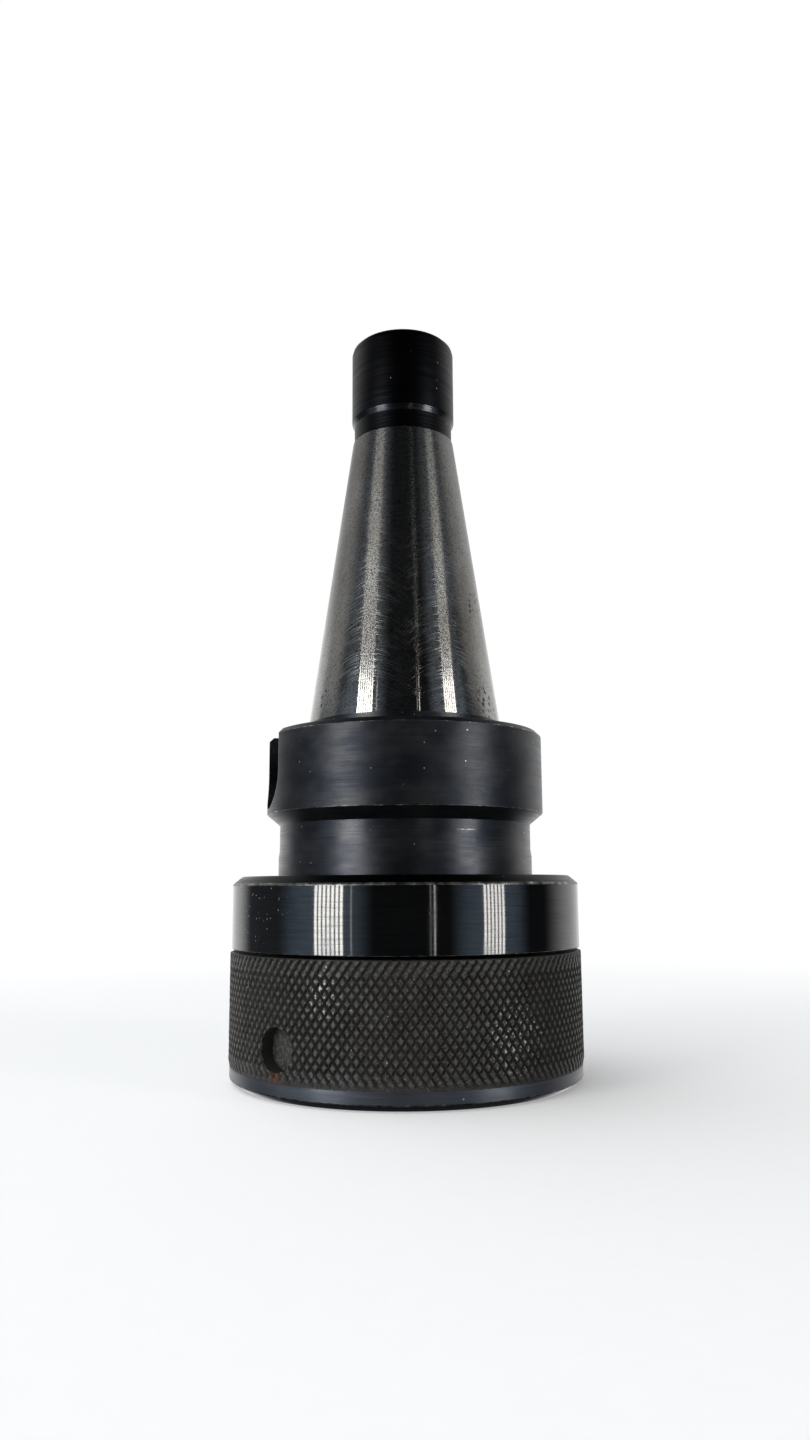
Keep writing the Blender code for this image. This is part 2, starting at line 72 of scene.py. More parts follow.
# Half angles of the collet's seat and front cone, of the tail's countersink and of a drill's point
SEAT_CONE, FRONT_CONE, CENTRE_CONE, DRILL_POINT = map(radians, (8.0, 30.0, 30.0, 59.0))
# Flank of a thread, its depth in a screw and in a nut, and the widths of a ridge at its root on the holder
# and in the nut, the last four as shares of the pitch
THREAD_FLANK = radians(30.0)
SCREW_DEPTH, NUT_DEPTH, HOLDER_RIDGE, NUT_RIDGE = 0.6134, 0.5413, 0.80, 0.78
# How far a cutter stands out of the solid that it cuts
PAST = 2 * MM


def linear(code):
    """sRGB hex code as linear red, green and blue."""
    channels = [int(code[start : start + 2], 16) / 255 for start in (1, 3, 5)]
    return tuple(c / 12.92 if c <= 0.04045 else ((c + 0.055) / 1.055) ** 2.4 for c in channels)


def length(name, description, value, least=0.0):
    """Length property with its default in metres."""
    return FloatProperty(
        name=name, description=description, default=value, unit="LENGTH", precision=5, min=least
    )


def angle(name, description, value):
    """Angle property with its default in degrees."""
    return FloatProperty(name=name, description=description, default=radians(value), subtype="ANGLE")


def number(name, description, value):
    """Property that is a number without a unit."""
    return FloatProperty(name=name, description=description, default=value)


def whole(name, description, value, least):
    """Property that is a whole number."""
    return IntProperty(name=name, description=description, default=value, min=least)


def colour(name, description, code):
    """Colour property with its default as an sRGB hex code."""
    return FloatVectorProperty(
        name=name, description=description, default=linear(code), subtype="COLOR", min=0.0, max=1.0
    )


class HolderSizes(PropertyGroup):
    """Outside and bores of the holder body."""

    nose_front: length("Nose front", "Height of the nose's front face", BODY_LOW.z)
    thread_diameter: length("Nose thread", "Outside diameter of the nose thread", 57.15 * MM)
    thread_pitch: length("Thread pitch", "Pitch of the nose thread, 12 to the inch", 25.4 / 12 * MM)
    thread_lead: length("Thread lead", "Distance of the first turn from the nose's front", 1.6 * MM)
    nose_lead: length("Nose lead", "Chamfer at the nose's front", 0.8 * MM)
    relief_step: length("Relief step", "Depth of the groove behind the thread under its root", 0.25 * MM)
    relief_round: length("Relief round", "Radius in the corners of that groove", 0.4 * MM)
    relief_width: length("Relief width", "Width of the groove behind the thread", 2.4 * MM)
    land_diameter: length("Land", "Ground land that carries the collar", 58.0 * MM)
    land_above: length("Land above collar", "Length of the land that shows", 4.3 * MM)
    land_run: length("Land run", "Length over which the land runs into the neck", 1.5 * MM)
    neck_diameter: length("Neck", "Turned neck below the flange", 57.54 * MM)
    flange_bottom: length("Flange bottom", "Height of the flange's lower edge", 58.2 * MM)
    flange_top: length("Flange top", "Height of the flange's rear face", 76.6 * MM)
    flange_diameter: length("Flange", "Outside diameter of the drive flange", 63.5 * MM)
    flange_chamfer: length("Flange chamfer", "Chamfer at the flange's rear face", 1.0 * MM)
    neck_chamfer: length("Lower chamfer", "Height of the chamfer under the flange", 2.5 * MM)
    slot_width: length("Slot width", "Width of a drive slot", 16.2 * MM)
    slot_length: length("Slot length", "Length of a drive slot from the rear face", 17.4 * MM)
    slot_floor: length("Slot floor", "Distance of a slot's floor from the axis", 22.4 * MM)
    slot_heading: angle("Slot heading", "Heading of the first slot from -Y towards -X", 75.6)
    taper_start: length("Taper start", "Height at which the taper starts", 79.1 * MM)
    taper_end: length("Taper end", "Height at which the taper ends", 148.7 * MM)
    gauge_diameter: length("Gauge diameter", "Taper diameter at the gauge line", 44.45 * MM)
    gauge_height: length("Gauge height", "Height of the gauge line", 80.0 * MM)
    tail_neck_end: length("Tail neck end", "Height at which the tail neck ends", 153.2 * MM)
    tail_neck_step: length("Tail neck step", "Step from the taper's end to the tail neck", 0.326 * MM)
    pilot_diameter: length("Pilot", "Diameter of the tail pilot", 24.98 * MM)
    pilot_lead: length("Pilot lead", "Height of the lead at the pilot's lower end", 1.2 * MM)
    pilot_round: length("Pilot round", "Radius of the pilot's end", 1.9 * MM)
    seat_mouth: length("Seat mouth", "Diameter of the collet seat's mouth", 48.0 * MM)
    seat_end: length("Seat end", "Height at which the collet seat ends", 55.0 * MM)
    cavity_diameter: length("Cavity", "Diameter of the bore behind the collet", 34.0 * MM)
    cavity_end: length("Cavity end", "Height at which that bore ends", 84.0 * MM)
    stop_bore: length("Stop bore", "Diameter of the stop screw's bore", 16.0 * MM)
    stop_start: length("Stop bore start", "Height at which the stop bore starts", 89.408 * MM)
    stop_end: length("Stop bore end", "Height at which the stop bore ends", 111.408 * MM)
    drawbar_bore: length("Drawbar bore", "Diameter at the crests of the drawbar's thread", 13.7 * MM)
    drawbar_thread: length("Drawbar thread", "Outside diameter of that thread", 15.875 * MM)
    drawbar_pitch: length("Drawbar pitch", "Pitch of that thread, 11 to the inch", 25.4 / 11 * MM)
    drawbar_length: length("Drawbar thread length", "Length of that thread", 50.0 * MM)
    countersink: length("Countersink", "Diameter of the countersink at the tail", 16.1 * MM)
    edge: length("Edge", "Radius of a broken edge", 0.22 * MM)
    facets: whole("Facets", "Facets round the body", 208, 24)


class NutSizes(PropertyGroup):
    """Knurled closing nut, rear collar and the ring and balls inside."""

    radius: length("Rim radius", "Radius of the plain band and of the collar", COLLAR_HIGH.x)
    width: length("Nut width", "Width of the closing nut", NUT_HIGH.z)
    front_chamfer: length("Front chamfer", "Radial size of the front chamfer", 2.1 * MM)
    front_chamfer_height: length("Front chamfer height", "Height of the front chamfer", 1.3 * MM)
    plain_band: length("Plain band", "Width of the plain band below the knurl", 2.5 * MM)
    lip: length("Seam lip", "Chamfer on both sides of the seam", 0.2 * MM)
    knurl_crest: length("Knurl crest", "Height of the crests over the plain band", 0.26 * MM)
    knurl_valley: length("Knurl valley", "Depth of the grooves under the plain band", 0.25 * MM)
    knurl_columns: whole("Knurl columns", "Diamonds round", 130, 16)
    knurl_rows: whole("Knurl rows", "Diamonds along the axis", 9, 2)
    knurl_flat: number("Knurl flat", "Flat top of a diamond as a share of its width", 0.48)
    rear_band: length("Rear band", "Band at the knurl's rear with one set of grooves", 1.9 * MM)
    front_band: length("Front band", "Band at the knurl's front with the other set", 1.9 * MM)
    run_out: length("Run-out", "Length over which a groove runs out", 1.3 * MM)
    knurl_uneven: length("Uneven knurl", "How far a point of the knurl may be off its place", 0.06 * MM)
    shoulder: length("Shoulder", "Height of the shoulder over the nose ring", 14.5 * MM)
    thread_gap: length("Thread gap", "Clearance at the roots of the nut's thread", 0.1 * MM)
    thread_chamfer: length("Thread chamfer", "Chamfer at the rear end of the thread", 0.8 * MM)
    thread_lead: length("Thread lead", "Distance of the first turn from the shoulder", 1.2 * MM)
    thread_end: length("Thread end", "Distance of the last turn from the rear face", 1.0 * MM)
    bore_radius: length("Bore radius", "Radius of the bore round the nose ring", 31.0 * MM)
    bore_chamfer: length("Bore chamfer", "Chamfer at the bore's front edge", 0.5 * MM)
    ball_pitch_radius: length("Ball circle", "Radius of the circle of balls", 30.8 * MM)
    ball_row_height: length("Ball row height", "Height of the row of balls", 10.2 * MM)
    groove_radius: length("Groove radius", "Radius of the balls' groove", 3.078 * MM)
    spanner_hole: length("Spanner hole", "Diameter of a spanner hole", 8.8 * MM)
    spanner_depth: length("Spanner hole depth", "Depth of a spanner hole", 3.1 * MM)
    spanner_heading: angle("Spanner heading", "Heading of the near hole from -Y towards -X", 41.1)
    filler_hole: length("Filler hole", "Diameter of the filler hole", 6.206 * MM)
    collar_chamfer: length("Collar chamfer", "Radial size of the collar's rear chamfer", 2.1 * MM)
    collar_chamfer_height: length("Collar chamfer height", "Height of that chamfer", 1.7 * MM)
    collar_round: length("Collar rounding", "Radius of the edges of that chamfer", 0.7 * MM)
    collar_bore: length("Collar bore", "Radius of the collar's bore", 29.3 * MM)
    collar_facets: whole("Collar facets", "Facets round the collar", 256, 24)
    edge: length("Edge", "Radius of a broken edge", 0.18 * MM)


class ColletSizes(PropertyGroup):
    """Spring collet and the nose ring that pushes it."""

    bore: length("Bore", "Diameter of the collet's bore", 31.75 * MM)
    cone_end: length("Cone end", "Height at which the front cone ends", 8.6 * MM)
    groove_bottom: length("Groove bottom", "Lower side of the ring's groove", 10.0 * MM)
    groove_top: length("Groove top", "Upper side of the ring's groove", 12.0 * MM)
    groove_depth: length("Groove depth", "Depth of the ring's groove", 2.3 * MM)
    seat_gap: length("Seat gap", "Clearance square to the seats", 0.3 * MM)
    sliding_gap: length("Sliding gap", "Clearance of the ring's lip", 0.35 * MM)
    slot_width: length("Slot width", "Width of a slot", 1.2 * MM)
    uncut_front: length("Uncut front", "Length left uncut by the rear slots", 13.0 * MM)
    uncut_rear: length("Uncut rear", "Length left uncut by the front slots", 9.0 * MM)
    slots: whole("Slots", "Slots from each end", 6, 2)
    first_slot: angle("First slot", "Angle of the first slot from +X", 3.75)
    ring_radius: length("Ring radius", "Outside radius of the nose ring", 30.6 * MM)
    edge: length("Edge", "Radius of a broken edge", 0.25 * MM)
    facets: whole("Facets", "Facets round collet and ring", 144, 24)


class FinishColours(PropertyGroup):
    """Colours of the finishes."""

    oxide: colour("Black oxide", "Coating on turned steel", "#2d2f34")
    oxide_rubbed: colour("Rubbed oxide", "Coating rubbed thin by handling", "#4d4c4b")
    oxide_groove: colour("Oxide in grooves", "Coating in the bottom of tool lines", "#2a2c30")
    # The tail colours are much darker copies of the black oxide's: painted shade on the tail and the
    # collar's rear chamfer, which face up, away from the lamps
    tail: colour("Tail", "Thick dull coating on the tail", "#0c0c0e")
    tail_rubbed: colour("Rubbed tail", "The same coating where it is rubbed", "#141313")
    band: colour("Band", "Coating on the nut's plain band", "#45494f")
    band_rubbed: colour("Rubbed band", "The same coating where it is rubbed", "#55565a")
    polished: colour("Polished oxide", "Coating on polished steel", "#4e4d4b")
    polished_smear: colour("Smeared oxide", "Polished coating under a smear of oil", "#454545")
    knurl: colour("Knurl", "Coating on the knurl", "#3a3836")
    knurl_dirt: colour("Knurl dirt", "Oily dirt on the knurl", "#2f2d2a")
    knurl_crest: colour("Knurl crests", "Coating rubbed on the crests", "#524f4b")
    # The rubbed edge colour is also painted as a highlight along the drive slots' outer edges
    edge: colour("Rubbed edge", "Edge where the coating is thin", "#75736f")
    # Bright steel is also painted as glints on the knurl's crests and as the highlight of the scratch arcs
    # on the taper
    bright: colour("Bright steel", "Steel where the coating has gone", "#b9b6b0")
    ground: colour("Ground steel", "Clean ground steel", "#8a8a87")
    tarnished: colour("Tarnished steel", "Ground steel with a film of old oil", "#716d67")
    pit: colour("Pit", "Rust pit in ground steel", "#1d1814")
    spring: colour("Spring steel", "Hardened and ground spring steel", "#a3a29f")
    ball: colour("Ball steel", "Polished ball steel", "#c9c9c8")
    dust: colour("Dust", "Specks of dust and chalk", "#c9c5bb")
    rust: colour("Rust", "Old rust in the knurl", "#5b3a23")
    floor: colour("Floor", "Pale floor", "#e3e0da")
    floor_fibre: colour("Floor fibres", "Darker fibres of the floor", "#dedbd5")


class StageSettings(PropertyGroup):
    """Camera, lamps, room and floor."""

    lens: number("Lens", "Focal length in millimetres", 25.9)
    distance: length("Distance", "Camera's level distance from the axis", 241.3 * MM)
    height: length("Height", "Camera's height over the floor", 41.8 * MM)
    pitch: angle("Pitch", "Camera's pitch above level", 9.15)
    roll: angle("Roll", "Camera's roll", -0.31)
    offset: length("Offset", "Camera's offset to the right", 0.13 * MM, -1.0)
    lamp_radiance: number("Lamp radiance", "Radiance of a lamp tube, where 1 is white", 13.0)
    lamp_distance: length("Lamp distance", "Distance of the lamp tubes from the axis", 1.2)
    lamp_bottom: length("Lamp bottom", "Height of the tubes' lower end", -0.55, -2.0)
    lamp_top: length("Lamp top", "Height of the tubes' upper end", 0.54)
    lamp_colour: colour("Lamp colour", "Colour of the lamp tubes", "#fdfcfa")
    room_light: number("Room light", "Strength of the room's soft light", 0.95)
    room_colour: colour("Room colour", "Colour of that light", "#eaf1fb")
    softbox: number("Soft lights", "Factor on all soft lights that metal sees", 1.0)
    room_dark: number("Dark room", "Radiance of the dark part of the room overhead", 0.042)
    dark_colour: colour("Dark room colour", "Colour of the dark part of the room", "#dde6f2")
    floor_lift: number("Floor lift", "White that the eye sees on the floor by itself", 0.28)
    floor_size: length("Floor size", "Radius of the floor", 3.0)
    floor_clear: length("Clear floor", "Distance at which the floor starts to run out into white", 0.08)
    floor_white: length("White floor", "Distance at which it is white", 0.50)


def add_node(tree, kind, inputs=(), output=0, **settings):
    """Adds a shader node with its settings and links, and returns the output that is wanted.

    An input is a number, a vector, a colour or the output of another node. Those of a Map Range are 0 the
    value, 1 and 2 the range that it comes from, 3 and 4 the one that it goes to, 0 to 1 where they are left
    out. Those of a Mix of colours are 0 the share of the second, 6 and 7 the colours.
    """
    made = tree.nodes.new("ShaderNode" + kind)
    for name, value in settings.items():
        setattr(made, name, value)
    for name, value in dict(inputs).items():
        socket = made.inputs[name]
        if isinstance(value, bpy.types.NodeSocket):
            tree.links.new(value, socket)
        elif socket.type == "RGBA":
            socket.default_value = (*value, 1.0)
        else:
            socket.default_value = value
    return made.outputs[output]


def new_finish(name, metallic, anisotropic=0.0):
    """Material with its shader and the piece's own coordinates.

    Tool lines run round the axis, so an anisotropic finish stretches its highlights along the axis.
    """
    material = bpy.data.materials.new(name)
    material.use_nodes = True
    tree = material.node_tree
    shader = tree.nodes["Principled BSDF"]
    shader.inputs["Metallic"].default_value = metallic
    if anisotropic:
        shader.inputs["Anisotropic"].default_value = anisotropic
        shader.inputs["Anisotropic Rotation"].default_value = 0.25
        round_axis = add_node(tree, "Tangent", direction_type="RADIAL", axis="Z")
        tree.links.new(round_axis, shader.inputs["Tangent"])
    return tree, shader, add_node(tree, "TexCoord", output="Object")


def set_surface(tree, shader, base, roughness, relief, depth):
    """Links colour, roughness and a bump whose full height is depth in metres."""
    normal = add_node(tree, "Bump", {"Height": relief, "Strength": 1.0, "Distance": depth})
    tree.links.new(base, shader.inputs["Base Color"])
    tree.links.new(roughness, shader.inputs["Roughness"])
    tree.links.new(normal, shader.inputs["Normal"])


def grain(tree, place, around, along, detail):
    """Noise whose features are so many metres long round the axis and along it."""
    scale = (1.0 / around, 1.0 / around, 1.0 / along)
    stretched = add_node(tree, "VectorMath", {0: place, 1: scale}, operation="MULTIPLY")
    return add_node(tree, "TexNoise", {"Vector": stretched, "Scale": 1.0, "Detail": detail})


def specks(tree, place, cell, radius, share):
    """Mask of round specks, one in each of a share of the cells, that fade out from 0.6 of their radius."""
    scaled = add_node(tree, "VectorMath", {0: place, "Scale": 1.0 / cell}, operation="SCALE")
    distance = add_node(tree, "TexVoronoi", {"Vector": scaled, "Scale": 1.0})
    dots = add_node(tree, "MapRange", {0: distance, 1: radius / cell, 2: 0.6 * radius / cell})
    chance = add_node(tree, "SeparateColor", {0: distance.node.outputs["Color"]})
    chosen = add_node(tree, "Math", {0: chance, 1: 1.0 - share}, operation="GREATER_THAN")
    return add_node(tree, "Math", {0: dots, 1: chosen}, operation="MULTIPLY")


def on_surface(radius, heading, height):
    """Point at a radius, a heading in degrees from -Y towards +X, and a height."""
    turn = radians(heading)
    return (radius * sin(turn), -radius * cos(turn), height)


def near_places(tree, place, radius, places):
    """Mask of places at one radius, each a heading, a height and the distances where it is full and gone."""
    near = 0.0
    for heading, height, full, gone in places:
        point = on_surface(radius, heading, height)
        apart = add_node(tree, "VectorMath", {0: place, 1: point}, "Value", operation="DISTANCE")
        ends = {0: apart, 1: gone, 2: full}
        zone = add_node(tree, "MapRange", ends, interpolation_type="SMOOTHSTEP")
        near = add_node(tree, "Math", {0: near, 1: zone}, operation="MAXIMUM")
    return near


def off_axis(tree, place):
    """Distance from the axis."""
    level = add_node(tree, "VectorMath", {0: place, 1: (1.0, 1.0, 0.0)}, operation="MULTIPLY")
    return add_node(tree, "VectorMath", {0: level}, "Value", operation="LENGTH")


# Turned surfaces: roughness, how far the coating looks like metal, and its clean and its rubbed colour
TURNED = {
    "flange_black_oxide": (0.40, 0.90, "oxide", "oxide_rubbed"),
    "neck_black_oxide": (0.33, 0.90, "oxide", "oxide_rubbed"),
    "turned_black_oxide": (0.33, 0.90, "oxide", "oxide_rubbed"),
    "smooth_black_oxide": (0.24, 1.0, "oxide", "oxide_rubbed"),
    # Painted shade: black oxide made much darker for the faces that look up, away from the lamps
    "black_oxide_painted_shade": (0.38, 1.0, "tail", "tail_rubbed"),
    "satin_black_oxide": (0.36, 0.60, "band", "band_rubbed"),
}


def turned_black_oxide(colours, name):
    """Black oxide on turned steel: satin near black over tool lines, rubbed by hands, with some dust."""
    roughness, metallic, clean, rubbed = TURNED[name]
    tree, shader, place = new_finish(name, metallic, anisotropic=0.35)
    # Tool lines are 0.1 mm apart on the real part and are drawn at 0.3 mm so that they show
    lines = grain(tree, place, 25 * MM, 0.3 * MM, 3.0)
    patches = grain(tree, place, 9 * MM, 6 * MM, 4.0)
    handled = add_node(tree, "MapRange", {0: patches, 1: 0.38, 2: 0.75})
    hollow = add_node(tree, "MapRange", {0: lines, 1: 0.60, 2: 0.30, 4: 0.4})
    dust = specks(tree, place, 2.2 * MM, 0.17 * MM, 0.30)
    base = getattr(colours, clean)
    layers = (handled, getattr(colours, rubbed)), (hollow, colours.oxide_groove), (dust, colours.dust)
    for mask, over in layers:
        base = add_node(tree, "Mix", {0: mask, 6: base, 7: over}, 2, data_type="RGBA")
    ends = {0: lines, 1: 0.3, 2: 0.7, 3: roughness - 0.05, 4: roughness + 0.07}
    set_surface(tree, shader, base, add_node(tree, "MapRange", ends), lines, 0.005 * MM)
    return tree, shader, place, base


# Marked places, each a heading in degrees from -Y towards +X, a height, and the distances from that point
# at which the mark is full and gone. Rust has pitted the taper, dust lies on the collar's chamfer, and the
# knurl's crests are worn bright, with painted glints where the lamps reflect on them
PITTED_RADIUS, DUSTY_RADIUS = 20 * MM, 38 * MM
PITTED = (
    (64.0, 105 * MM, 3.6 * MM, 6 * MM),
    (60.0, 82.5 * MM, 3.3 * MM, 5.5 * MM),
    (-60.0, 84 * MM, 2.4 * MM, 4 * MM),
)
DUSTY = ((-52.0, 37 * MM, 6 * MM, 12 * MM),)
KNURL_WEAR_AND_PAINTED_GLINTS = ((33.0, 13 * MM, 3 * MM, 9 * MM), (-24.0, 21 * MM, 1 * MM, 6 * MM))
# Headings of the lamps' reflections on the taper, beside which its scratches bend down in arcs with a
# painted highlight, and its radius there
LAMP_REFLECTION_HEADINGS = (-24.0, 29.0)
LAMP_REFLECTION_RADIUS = 21 * MM


def neck_black_oxide(colours, sizes):
    """Turned black oxide with a short bright scratch round the neck, near the flange."""
    tree, shader, place, base = turned_black_oxide(colours, "neck_black_oxide")
    below_flange, half_width = 2.2 * MM, 0.10 * MM
    height = sizes.flange_bottom - sizes.neck_chamfer - below_flange
    scratched = (26.0, height, 1.6 * MM, 2.6 * MM)
    near = near_places(tree, place, sizes.neck_diameter / 2, (scratched,))
    level = add_node(tree, "SeparateXYZ", {0: place}, "Z")
    line = add_node(tree, "Math", {0: level, 1: height, 2: half_width}, operation="COMPARE")
    broken = grain(tree, place, 0.5 * MM, 0.5 * MM, 2.0)
    ragged = add_node(tree, "MapRange", {0: broken, 1: 0.40, 2: 0.50})
    for mask in (ragged, near):
        line = add_node(tree, "Math", {0: line, 1: mask}, operation="MULTIPLY")
    base = add_node(tree, "Mix", {0: line, 6: base, 7: colours.edge}, 2, data_type="RGBA")
    tree.links.new(base, shader.inputs["Base Color"])


def flange_black_oxide(colours, sizes):
    """Turned black oxide with a bright line at the drive slots' outer edges: a painted highlight of those
    edges, which the spindle's keys also rub.
    """
    tree, shader, place, base = turned_black_oxide(colours, "flange_black_oxide")
    half_width, depth = 0.16 * MM, 0.3 * MM
    # Distance from the slot's middle line, or below its round end from the centre of that round
    aside = (cos(sizes.slot_heading), -sin(sizes.slot_heading), 0.0)
    across = add_node(tree, "VectorMath", {0: place, 1: aside}, "Value", operation="DOT_PRODUCT")
    centre = sizes.flange_top - sizes.slot_length + sizes.slot_width / 2
    height = add_node(tree, "SeparateXYZ", {0: place}, "Z")
    below = add_node(tree, "Math", {0: height, 1: centre}, operation="SUBTRACT")
    below = add_node(tree, "Math", {0: below, 1: 0.0}, operation="MINIMUM")
    beside = add_node(tree, "CombineXYZ", {0: across, 1: below})
    beside = add_node(tree, "VectorMath", {0: beside}, "Value", operation="LENGTH")
    # The band at the slot's outer edge is a painted highlight of that edge, as well as rubbing by the keys
    edge = {0: beside, 1: sizes.slot_width / 2, 2: half_width}
    edge = add_node(tree, "Math", edge, operation="COMPARE")
    rim = {0: off_axis(tree, place), 1: sizes.flange_diameter / 2 - depth}
    rim = add_node(tree, "Math", rim, operation="GREATER_THAN")
    edge = add_node(tree, "Math", {0: edge, 1: rim}, operation="MULTIPLY")
    base = add_node(tree, "Mix", {0: edge, 6: base, 7: colours.edge}, 2, data_type="RGBA")
    tree.links.new(base, shader.inputs["Base Color"])


def ground_taper_steel(colours, sizes):
    """Ground steel: bright, with grinding lines, a warm film of oil, fine scratches in arcs round the lamps'
    reflections whose paler colour is a painted highlight, and pits.
    """
    tree, shader, place = new_finish("ground_taper_steel", 1.0, anisotropic=1.0)
    parts = add_node(tree, "SeparateXYZ", {0: place}).node.outputs
    height, low = parts["Z"], sizes.taper_start
    # Grinding lines are 0.05 mm apart on the real part and are drawn at 0.25 mm so that they show
    lines = grain(tree, place, 14 * MM, 0.25 * MM, 3.0)
    fine = grain(tree, place, 0.45 * MM, 0.35 * MM, 1.0)
    patches = grain(tree, place, 14 * MM, 18 * MM, 3.0)
    film = add_node(tree, "MapRange", {0: patches, 1: 0.35, 2: 0.70})
    dull = add_node(tree, "MapRange", {0: lines, 1: 0.60, 2: 0.35, 4: 0.35})
    spots = add_node(tree, "MapRange", {0: fine, 1: 0.50, 2: 0.36, 4: 0.60})

    # Scratches bend down in arcs on both sides of the lamps' reflections. Their roughness and bump are real
    # scratches, and their paler colour is a painted highlight of the arcs round the reflections. They are
    # 0.1 mm apart on the real part and are drawn at 0.34 mm so that they show
    apart, long, bow = 0.34 * MM, 4.5 * MM, 0.045 / MM
    back = add_node(tree, "Math", {0: parts["Y"], 1: -1.0}, operation="MULTIPLY")
    turn = add_node(tree, "Math", {0: parts["X"], 1: back}, operation="ARCTAN2")
    aside = pi
    for heading in LAMP_REFLECTION_HEADINGS:
        away = add_node(tree, "Math", {0: turn, 1: radians(heading)}, operation="SUBTRACT")
        away = add_node(tree, "Math", {0: away}, operation="ABSOLUTE")
        aside = add_node(tree, "Math", {0: aside, 1: away}, operation="MINIMUM")
    aside = add_node(tree, "Math", {0: aside, 1: LAMP_REFLECTION_RADIUS}, operation="MULTIPLY")
    bend = add_node(tree, "Math", {0: aside, 1: 2.0}, operation="POWER")
    level = add_node(tree, "Math", {0: bend, 1: bow, 2: height}, operation="MULTIPLY_ADD")
    across = add_node(tree, "Math", {0: level, 1: apart}, operation="DIVIDE")
    along = add_node(tree, "Math", {0: turn, 1: LAMP_REFLECTION_RADIUS / long}, operation="MULTIPLY")
    flat = add_node(tree, "CombineXYZ", {0: along, 1: across})
    scratches = add_node(tree, "TexNoise", {"Vector": flat, "Scale": 1.0, "Detail": 1.0})
    scratches_and_painted_sheen = add_node(tree, "MapRange", {0: scratches, 1: 0.52, 2: 0.64})
    beside = add_node(tree, "MapRange", {0: aside, 1: 1.6 * MM, 2: 2.6 * MM})
    above = add_node(tree, "MapRange", {0: height, 1: low - 5 * MM, 2: low + 11 * MM})
    under = add_node(tree, "MapRange", {0: height, 1: low + 56 * MM, 2: low + 30 * MM})
    worn = add_node(tree, "MapRange", {0: grain(tree, place, 5 * MM, 5 * MM, 2.0), 1: 0.38, 2: 0.52})
    for mask in (beside, above, under, worn):
        scratches_and_painted_sheen = add_node(tree, "Math", {0: scratches_and_painted_sheen, 1: mask}, operation="MULTIPLY")
    # Paler colour of the scratch arcs: a painted highlight round the lamps' reflections
    pale = add_node(tree, "Math", {0: scratches_and_painted_sheen, 1: 0.60}, operation="MULTIPLY")
    pits = specks(tree, place, 1.4 * MM, 0.62 * MM, 0.45)
    near = near_places(tree, place, PITTED_RADIUS, PITTED)
    pits = add_node(tree, "Math", {0: pits, 1: near}, operation="MULTIPLY")
    base = colours.ground
    for mask, over in (
        (film, colours.tarnished),
        (dull, colours.tarnished),
        (spots, colours.oxide),
        (pale, colours.bright),
        (pits, colours.pit),
    ):
        base = add_node(tree, "Mix", {0: mask, 6: base, 7: over}, 2, data_type="RGBA")

    # The lowest part is out of reach of wiping and has kept the polish of the grinding wheel
    wiped = add_node(tree, "MapRange", {0: height, 1: low - 7 * MM, 2: low + 12 * MM})
    grainy = add_node(tree, "MapRange", {0: fine, 1: 0.3, 2: 0.7, 3: -0.015, 4: 0.015})
    ends = {0: height, 1: low + 2 * MM, 2: low + 45 * MM, 3: 0.062, 4: 0.27}
    rough = add_node(tree, "MapRange", ends, interpolation_type="SMOOTHSTEP")
    for value, share in ((film, 0.025), (grainy, wiped), (scratches_and_painted_sheen, 0.30)):
        rough = add_node(tree, "Math", {0: value, 1: share, 2: rough}, operation="MULTIPLY_ADD")
    ribbed = add_node(tree, "MapRange", {0: height, 1: low, 2: low + 14 * MM, 3: 0.35})
    grains = add_node(tree, "Math", {0: fine, 1: wiped}, operation="MULTIPLY")
    relief = add_node(tree, "Math", {0: lines, 1: ribbed}, operation="MULTIPLY")
    for value, share in ((grains, 1.2), (scratches_and_painted_sheen, 3.0), (pits, -8.0)):
        relief = add_node(tree, "Math", {0: value, 1: share, 2: relief}, operation="MULTIPLY_ADD")
    set_surface(tree, shader, base, rough, relief, 0.003 * MM)


def polished_black_oxide(colours):
    """Black oxide on polished steel: glossy black, sharp reflections, faint grinding lines and dust."""
    tree, shader, place = new_finish("polished_black_oxide", 1.0, anisotropic=0.5)
    # Grinding lines are 0.05 mm apart on the real part and are drawn at 0.3 mm so that they show
    lines = grain(tree, place, 9 * MM, 0.3 * MM, 3.0)
    patches = grain(tree, place, 5 * MM, 8 * MM, 4.0)
    smear = add_node(tree, "MapRange", {0: patches, 1: 0.48, 2: 0.75})
    hollow = add_node(tree, "MapRange", {0: lines, 1: 0.55, 2: 0.30, 4: 0.45})
    dust = specks(tree, place, 2.4 * MM, 0.13 * MM, 0.10)
    crowd = specks(tree, place, 0.9 * MM, 0.18 * MM, 0.50)
    near = near_places(tree, place, DUSTY_RADIUS, DUSTY)
    crowd = add_node(tree, "Math", {0: crowd, 1: near}, operation="MULTIPLY")
    dust = add_node(tree, "Math", {0: dust, 1: crowd}, operation="MAXIMUM")
    base = colours.polished
    layers = (smear, colours.polished_smear), (hollow, colours.oxide_groove), (dust, colours.dust)
    for mask, over in layers:
        base = add_node(tree, "Mix", {0: mask, 6: base, 7: over}, 2, data_type="RGBA")
    rough = 0.06
    for mask, share in ((smear, 0.05), (dust, 0.5)):
        rough = add_node(tree, "Math", {0: mask, 1: share, 2: rough}, operation="MULTIPLY_ADD")
    set_surface(tree, shader, base, rough, lines, 0.0012 * MM)


